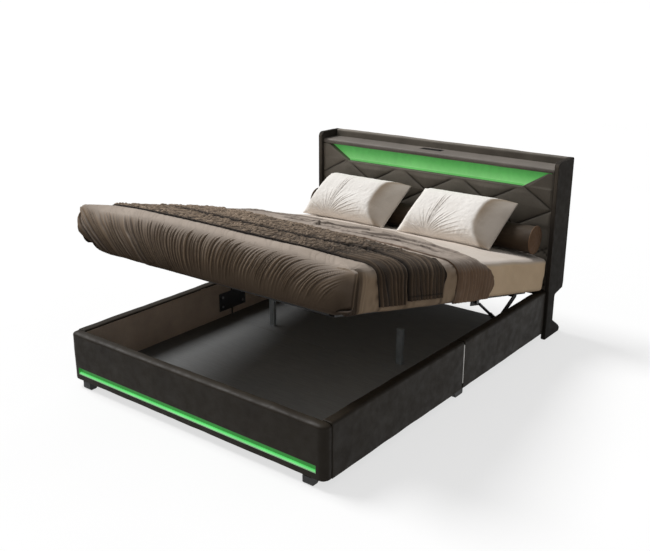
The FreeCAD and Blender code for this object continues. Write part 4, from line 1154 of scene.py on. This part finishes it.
def mattress():
    half, front, rear, top = 0.8075, 0.105, 2.028, 0.4868
    xs, ys = spaced(-half, half, 0.014, 0.07, 0.007), spaced(front, rear, 0.016, 0.07, 0.007)
    p, quads = shell(xs, ys, spaced(BED_LOW, top, 0.0075), BOX_FACES)
    base, out = rounded(p, (-half, front, BED_LOW), (half, rear, top), (0.030, 0.05, 0.020),
                        (0.030, 0.010, 0.024))
    x, y, z = p.T
    height = 0.0016 * noise(x / 0.10, y / 0.22 + z / 0.05, 101)
    height = height + 0.0008 * noise(x / 0.04, y / 0.06 + z / 0.04, 102)
    # the sheet is pulled into small folds down the sides near the head
    pull = np.abs(np.sin(math.pi * ((y + (top - z) * 0.5) / 0.05 + noise(y / 0.1, z / 0.1, 103))))
    near_head = ease((y - 1.86) / 0.14) * (np.abs(x) > half - TOUCH)
    height = height + 0.0022 * pull * near_head * ease((z - BED_LOW) / 0.05)
    points = base + out * height[:, None]
    points[:, 2] += crown(x, np.clip(out[:, 2], 0, 1))
    # it draws in a little where the duvet covers it
    covered = ease((0.85 - y) / 0.2)
    points[:, 0] *= 1.0 - 0.025 * covered
    points[:, 1] += 0.050 * covered * ease((0.40 - y) / 0.25)
    piece = make_piece("mattress_sheet", lift(points), quads, "sheet", "platform",
                       "mattress")


PILLOW_WIDTH = 0.607
PILLOW_HEIGHT = 0.334
PILLOW_FRONT = 0.084
PILLOW_BACK = 0.040
PILLOW_RIM = 0.0035
PILLOW_LEAN = math.radians(51.0)
PILLOW_SLANT = 0.014
PILLOW_Y = 0.7240
PILLOW_Z = 0.6922
# Where the flat front ends on the right, from the lower edge to the upper one. The pillow turns away there.
PILLOW_END = [(-1.0, 0.80), (-0.75, 0.66), (-0.4, 0.56), (0.0, 0.53), (0.5, 0.53), (0.8, 0.57), (0.95, 0.70),
              (1.0, 0.90)]
# Creases fan out from a point on the lower edge to these places: share of width, share of height, size.
RAY_ORIGIN = (0.345, -0.03)
RAYS = [(0.02, 0.10, 0.5), (0.06, 0.17, 0.8), (0.10, 0.17, 0.7), (0.13, 0.28, 0.8), (0.18, 0.38, 0.9),
        (0.22, 0.48, 0.9), (0.275, 0.61, 1.0), (0.312, 0.80, 0.7), (0.335, 0.99, 1.4), (0.352, 0.70, 0.8),
        (0.372, 0.96, 1.2), (0.412, 0.97, 1.5), (0.44, 0.62, 0.9), (0.50, 0.47, 1.0), (0.56, 0.52, 0.8),
        (0.63, 0.54, 1.0), (0.66, 0.38, 0.8), (0.72, 0.32, 0.8), (0.74, 0.20, 0.6), (0.82, 0.16, 0.6),
        (0.86, 0.08, 0.5)]


def pillow_rays(a, b, seed):
    """Height and shade of the creases at share a of the width and share b of the height."""
    ox, oy = RAY_ORIGIN
    px, py = (a - ox) * PILLOW_WIDTH, (b - oy) * PILLOW_HEIGHT
    height, dark = 0.0, 0.0
    for k, (ex, ey, size) in enumerate(RAYS):
        dx, dy = (ex - ox) * PILLOW_WIDTH, (ey - oy) * PILLOW_HEIGHT
        length = math.hypot(dx, dy)
        t = (px * dx + py * dy) / length ** 2
        off = (dx * py - dy * px) / length + 0.004 * noise(t * 4 + 3 * k, t * 0, seed) * np.clip(t * 2, 0, 1)
        live = ease((t - 0.06) / 0.25) * ease((1.03 - t) / 0.45) * size
        width = 0.0028 + 0.0026 * np.clip(t, 0, 1)
        groove = bell(off, 0.55 * width)
        height = height + live * (0.0022 * bell(off - width, width) - 0.0030 * groove)
        dark = np.maximum(dark, 0.42 * live * groove)
    return height, dark


def crowded(count):
    """Grid lines from -1 to 1, closer together towards both ends."""
    even = np.linspace(-1, 1, count)
    return np.sin(even * math.pi / 2) * 0.45 + even * 0.55


def pillow(side, x0, seed):
    """A plump cotton pillow: thin at its four corners, full in the middle, creased up from its lower edge."""
    columns, rows = 236, 132
    u, v = np.meshgrid(crowded(columns), crowded(rows), indexing="ij")
    end_u = np.where(u > 0, smooth_along(v, PILLOW_END, 0.05), 0.80)
    past = u - end_u
    a = (1 - np.abs(u)) / (1 - end_u)
    plateau = a / (1 + a ** 10) ** (1 / 10)
    full = plateau ** 0.9 * np.maximum(1 - np.abs(v) ** 3.2, 0) ** 0.55
    px = u * PILLOW_WIDTH / 2 * (1 - 0.010 * (1 - v ** 2)) + PILLOW_SLANT * v
    pv = v * PILLOW_HEIGHT / 2 * (1 - 0.020 * (1 - u ** 2))
    rays, dark = pillow_rays((u + 1) / 2, (v + 1) / 2, seed)
    seersucker = noise(px / 0.0085, pv / 0.013, seed + 5) + 0.9 * noise(px / 0.018, pv / 0.026, seed + 6)
    relief = rays + 0.0010 * seersucker * (1 - 0.7 * ease((past + 0.02) / 0.04))
    relief = relief + 0.0016 * noise(px / 0.09, pv / 0.07, seed + 7)
    open_face = ease(full / 0.30)
    sag = 1.0 + 0.10 * np.clip(-v, -1, 1)
    front = PILLOW_RIM + PILLOW_FRONT * full * sag + open_face * relief
    back = PILLOW_RIM + PILLOW_BACK * full + open_face * 0.0015 * noise(px / 0.08, pv / 0.07, seed + 9)
    c, s = math.cos(PILLOW_LEAN), math.sin(PILLOW_LEAN)

    def placed(depth):
        y, z = PILLOW_Y + pv * s - depth * c, PILLOW_Z + pv * c + depth * s
        return np.stack([x0 + px, y, z], -1).reshape(-1, 3)
    count = columns * rows
    ids = np.arange(count).reshape(columns, rows)
    rim = np.concatenate([ids[:, 0], ids[-1, 1:], ids[-2::-1, -1], ids[0, -2:0:-1]])
    seam = np.stack([rim, np.roll(rim, -1), np.roll(rim, -1) + count, rim + count], -1)
    quads = np.concatenate([grid_quads(ids), grid_quads(ids + count)[:, ::-1], seam[:, ::-1]])
    # painted shade: the pillow's creases are painted darker, and its end is painted darker where it turns out
    # of the light, least so next to the front
    painted_end_shade = 0.60 + 0.30 * bell(past, 0.16) * (0.35 + 0.65 * ease((v + 0.7) / 1.0))
    shade = (1 - 0.55 * dark * open_face) * (1 - ease((past + 0.05) / 0.10) * painted_end_shade)
    # the back face is painted a little darker
    shade = np.concatenate([shade.reshape(-1), np.full(count, 0.8)])
    points = np.concatenate([placed(front), placed(-back)])
    piece = make_piece(f"pillow_{side}_cushion", points, quads, "cotton", "platform",
                       f"pillow_{side}", shade)


BOLSTER_RADIUS = 0.077
BOLSTER_END = 0.768
BOLSTER_Y = 0.8300
BOLSTER_Z = 0.6144
BOLSTER_AROUND = 72


def bolster_ring(x, radius, turn):
    """Points of the bolster's round section, at x along it."""
    return np.stack([x + 0 * turn, BOLSTER_Y + radius * np.cos(turn), BOLSTER_Z + radius * np.sin(turn)], -1)


def bolster():
    """The round bolster across the head, with soft ends and a piped seam at each."""
    a = np.linspace(0, 2 * math.pi, BOLSTER_AROUND, endpoint=False)
    xs = spaced(-BOLSTER_END, BOLSTER_END, 0.012)
    x, turn = np.meshgrid(xs, a, indexing="ij")
    wrap = np.cos(turn) * 2.2
    radius = BOLSTER_RADIUS - 0.001 + 0.0018 * noise(x / 0.11, wrap, 111)
    radius = radius + 0.0008 * noise(x / 0.035, wrap * 3, 112)
    gathers = np.abs(np.sin(turn * 17 + noise(turn * 2, x * 0, 113)))
    radius = radius + 0.0016 * gathers * np.exp(-(BOLSTER_END - np.abs(x)) / 0.03)
    piece = make_piece("bolster_roll", bolster_ring(x, radius, turn).reshape(-1, 3),
                       capped(ring_ids(len(xs), BOLSTER_AROUND), True, ()), "bolster", "platform",
                       "bolster")
    for side, sign in SIDES:
        rings = []
        for share in np.linspace(1.0, 0.04, 12):
            swell = 0.010 * (1 - share ** 2.2) + 0.0008 * np.sin(a * 9) * share
            rings.append(bolster_ring(sign * (BOLSTER_END + swell), BOLSTER_RADIUS * share, a))
        end_piece = make_piece(f"bolster_end_{side}", np.concatenate(rings),
                               capped(ring_ids(len(rings), BOLSTER_AROUND), sign > 0, (-1,)), "bolster_end",
                               "platform")
        seam, quads = tube(bolster_ring(sign * BOLSTER_END, BOLSTER_RADIUS + 0.001, a), 0.0028, closed=True)
        make_piece(f"bolster_piping_{side}", seam, quads, "bolster_end", "platform")


# ---------------------------------------------------------------- studio
CAMERA_PLACE = (2.73023, -3.55476, 1.97378)
CAMERA_TURN = (71.426, 0.0, 38.124)
CAMERA_LENS = 48.488
CAMERA_SENSOR = 36.0
FLOOR_HALF = 120.0
# The floor is white to the camera. This much of that doesn't depend on the light, which softens the shadow.
FLOOR_GLOW = 0.68
WORLD_LEVEL = 0.30
KEY_PLACE = (-3.4, -0.3, 4.4)
KEY_SPREAD = 24.0
KEY_POWER = 2.9
WHITE = (1.0, 1.0, 1.0, 1.0)


def add_object(name, data):
    made = bpy.data.objects.new(name, data)
    bpy.context.scene.collection.objects.link(made)
    return made


def camera():
    made = add_object("camera", bpy.data.cameras.new("camera"))
    made.location = CAMERA_PLACE
    made.rotation_euler = [math.radians(v) for v in CAMERA_TURN]
    made.data.lens = CAMERA_LENS
    made.data.sensor_width = CAMERA_SENSOR
    made.data.clip_end = 500.0
    bpy.context.scene.camera = made


def studio_floor():
    mesh = bpy.data.meshes.new("floor")
    corners = [(sx * FLOOR_HALF, sy * FLOOR_HALF, 0) for sx, sy in ((-1, -1), (1, -1), (1, 1), (-1, 1))]
    mesh.from_pydata(corners, [], [(0, 1, 2, 3)])
    s = Surface("studio_floor", roughness=0.9, specular=0.1)
    rays = node(s.tree, "ShaderNodeLightPath").outputs
    seen = s.maths("MAXIMUM", rays["Is Camera Ray"], rays["Is Glossy Ray"])
    seen = s.maths("MAXIMUM", seen, rays["Is Transmission Ray"])
    pale = s.mix(s.uneven(s.noise(0.8)), linear((150, 150, 150)), linear((153, 153, 153)))
    s.set("Base Color", s.mix(seen, linear((140, 138, 135)), pale))
    s.set("Emission Color", WHITE)
    s.set("Emission Strength", s.maths("MULTIPLY", seen, FLOOR_GLOW))
    mesh.materials.append(MATERIALS["studio_floor"])
    add_object("floor", mesh)


def world():
    made = bpy.data.worlds.new("studio")
    made.use_nodes = True
    bpy.context.scene.world = made
    tree = made.node_tree
    rays = node(tree, "ShaderNodeLightPath").outputs
    seen = node(tree, "ShaderNodeMath", {0: rays["Is Camera Ray"], 1: rays["Is Transmission Ray"]},
                operation="MAXIMUM")
    level = node(tree, "ShaderNodeMapRange", {"Value": seen.outputs[0], "To Min": WORLD_LEVEL, "To Max": 1.0})
    background = tree.nodes["Background"].inputs
    connect(tree, WHITE, background["Color"])
    connect(tree, level.outputs[0], background["Strength"])


def key_light():
    light = bpy.data.lights.new("key", "SUN")
    light.angle = math.radians(KEY_SPREAD)
    light.energy = KEY_POWER
    lamp = add_object("key", light)
    lamp.location = KEY_PLACE
    lamp.rotation_euler = (-Vector(KEY_PLACE)).to_track_quat("-Z", "Y").to_euler()


bpy.context.scene.view_settings.view_transform = "Standard"
camera()
studio_floor()
world()
key_light()
make_materials()
paint_cad_nodes()
footboard()
side_rails()
quilt()
wings()
headboard_boards()
mattress()
duvet()
runner()
blanket()
pillow("left", -0.384, 121)
pillow("right", 0.323, 141)
bolster()
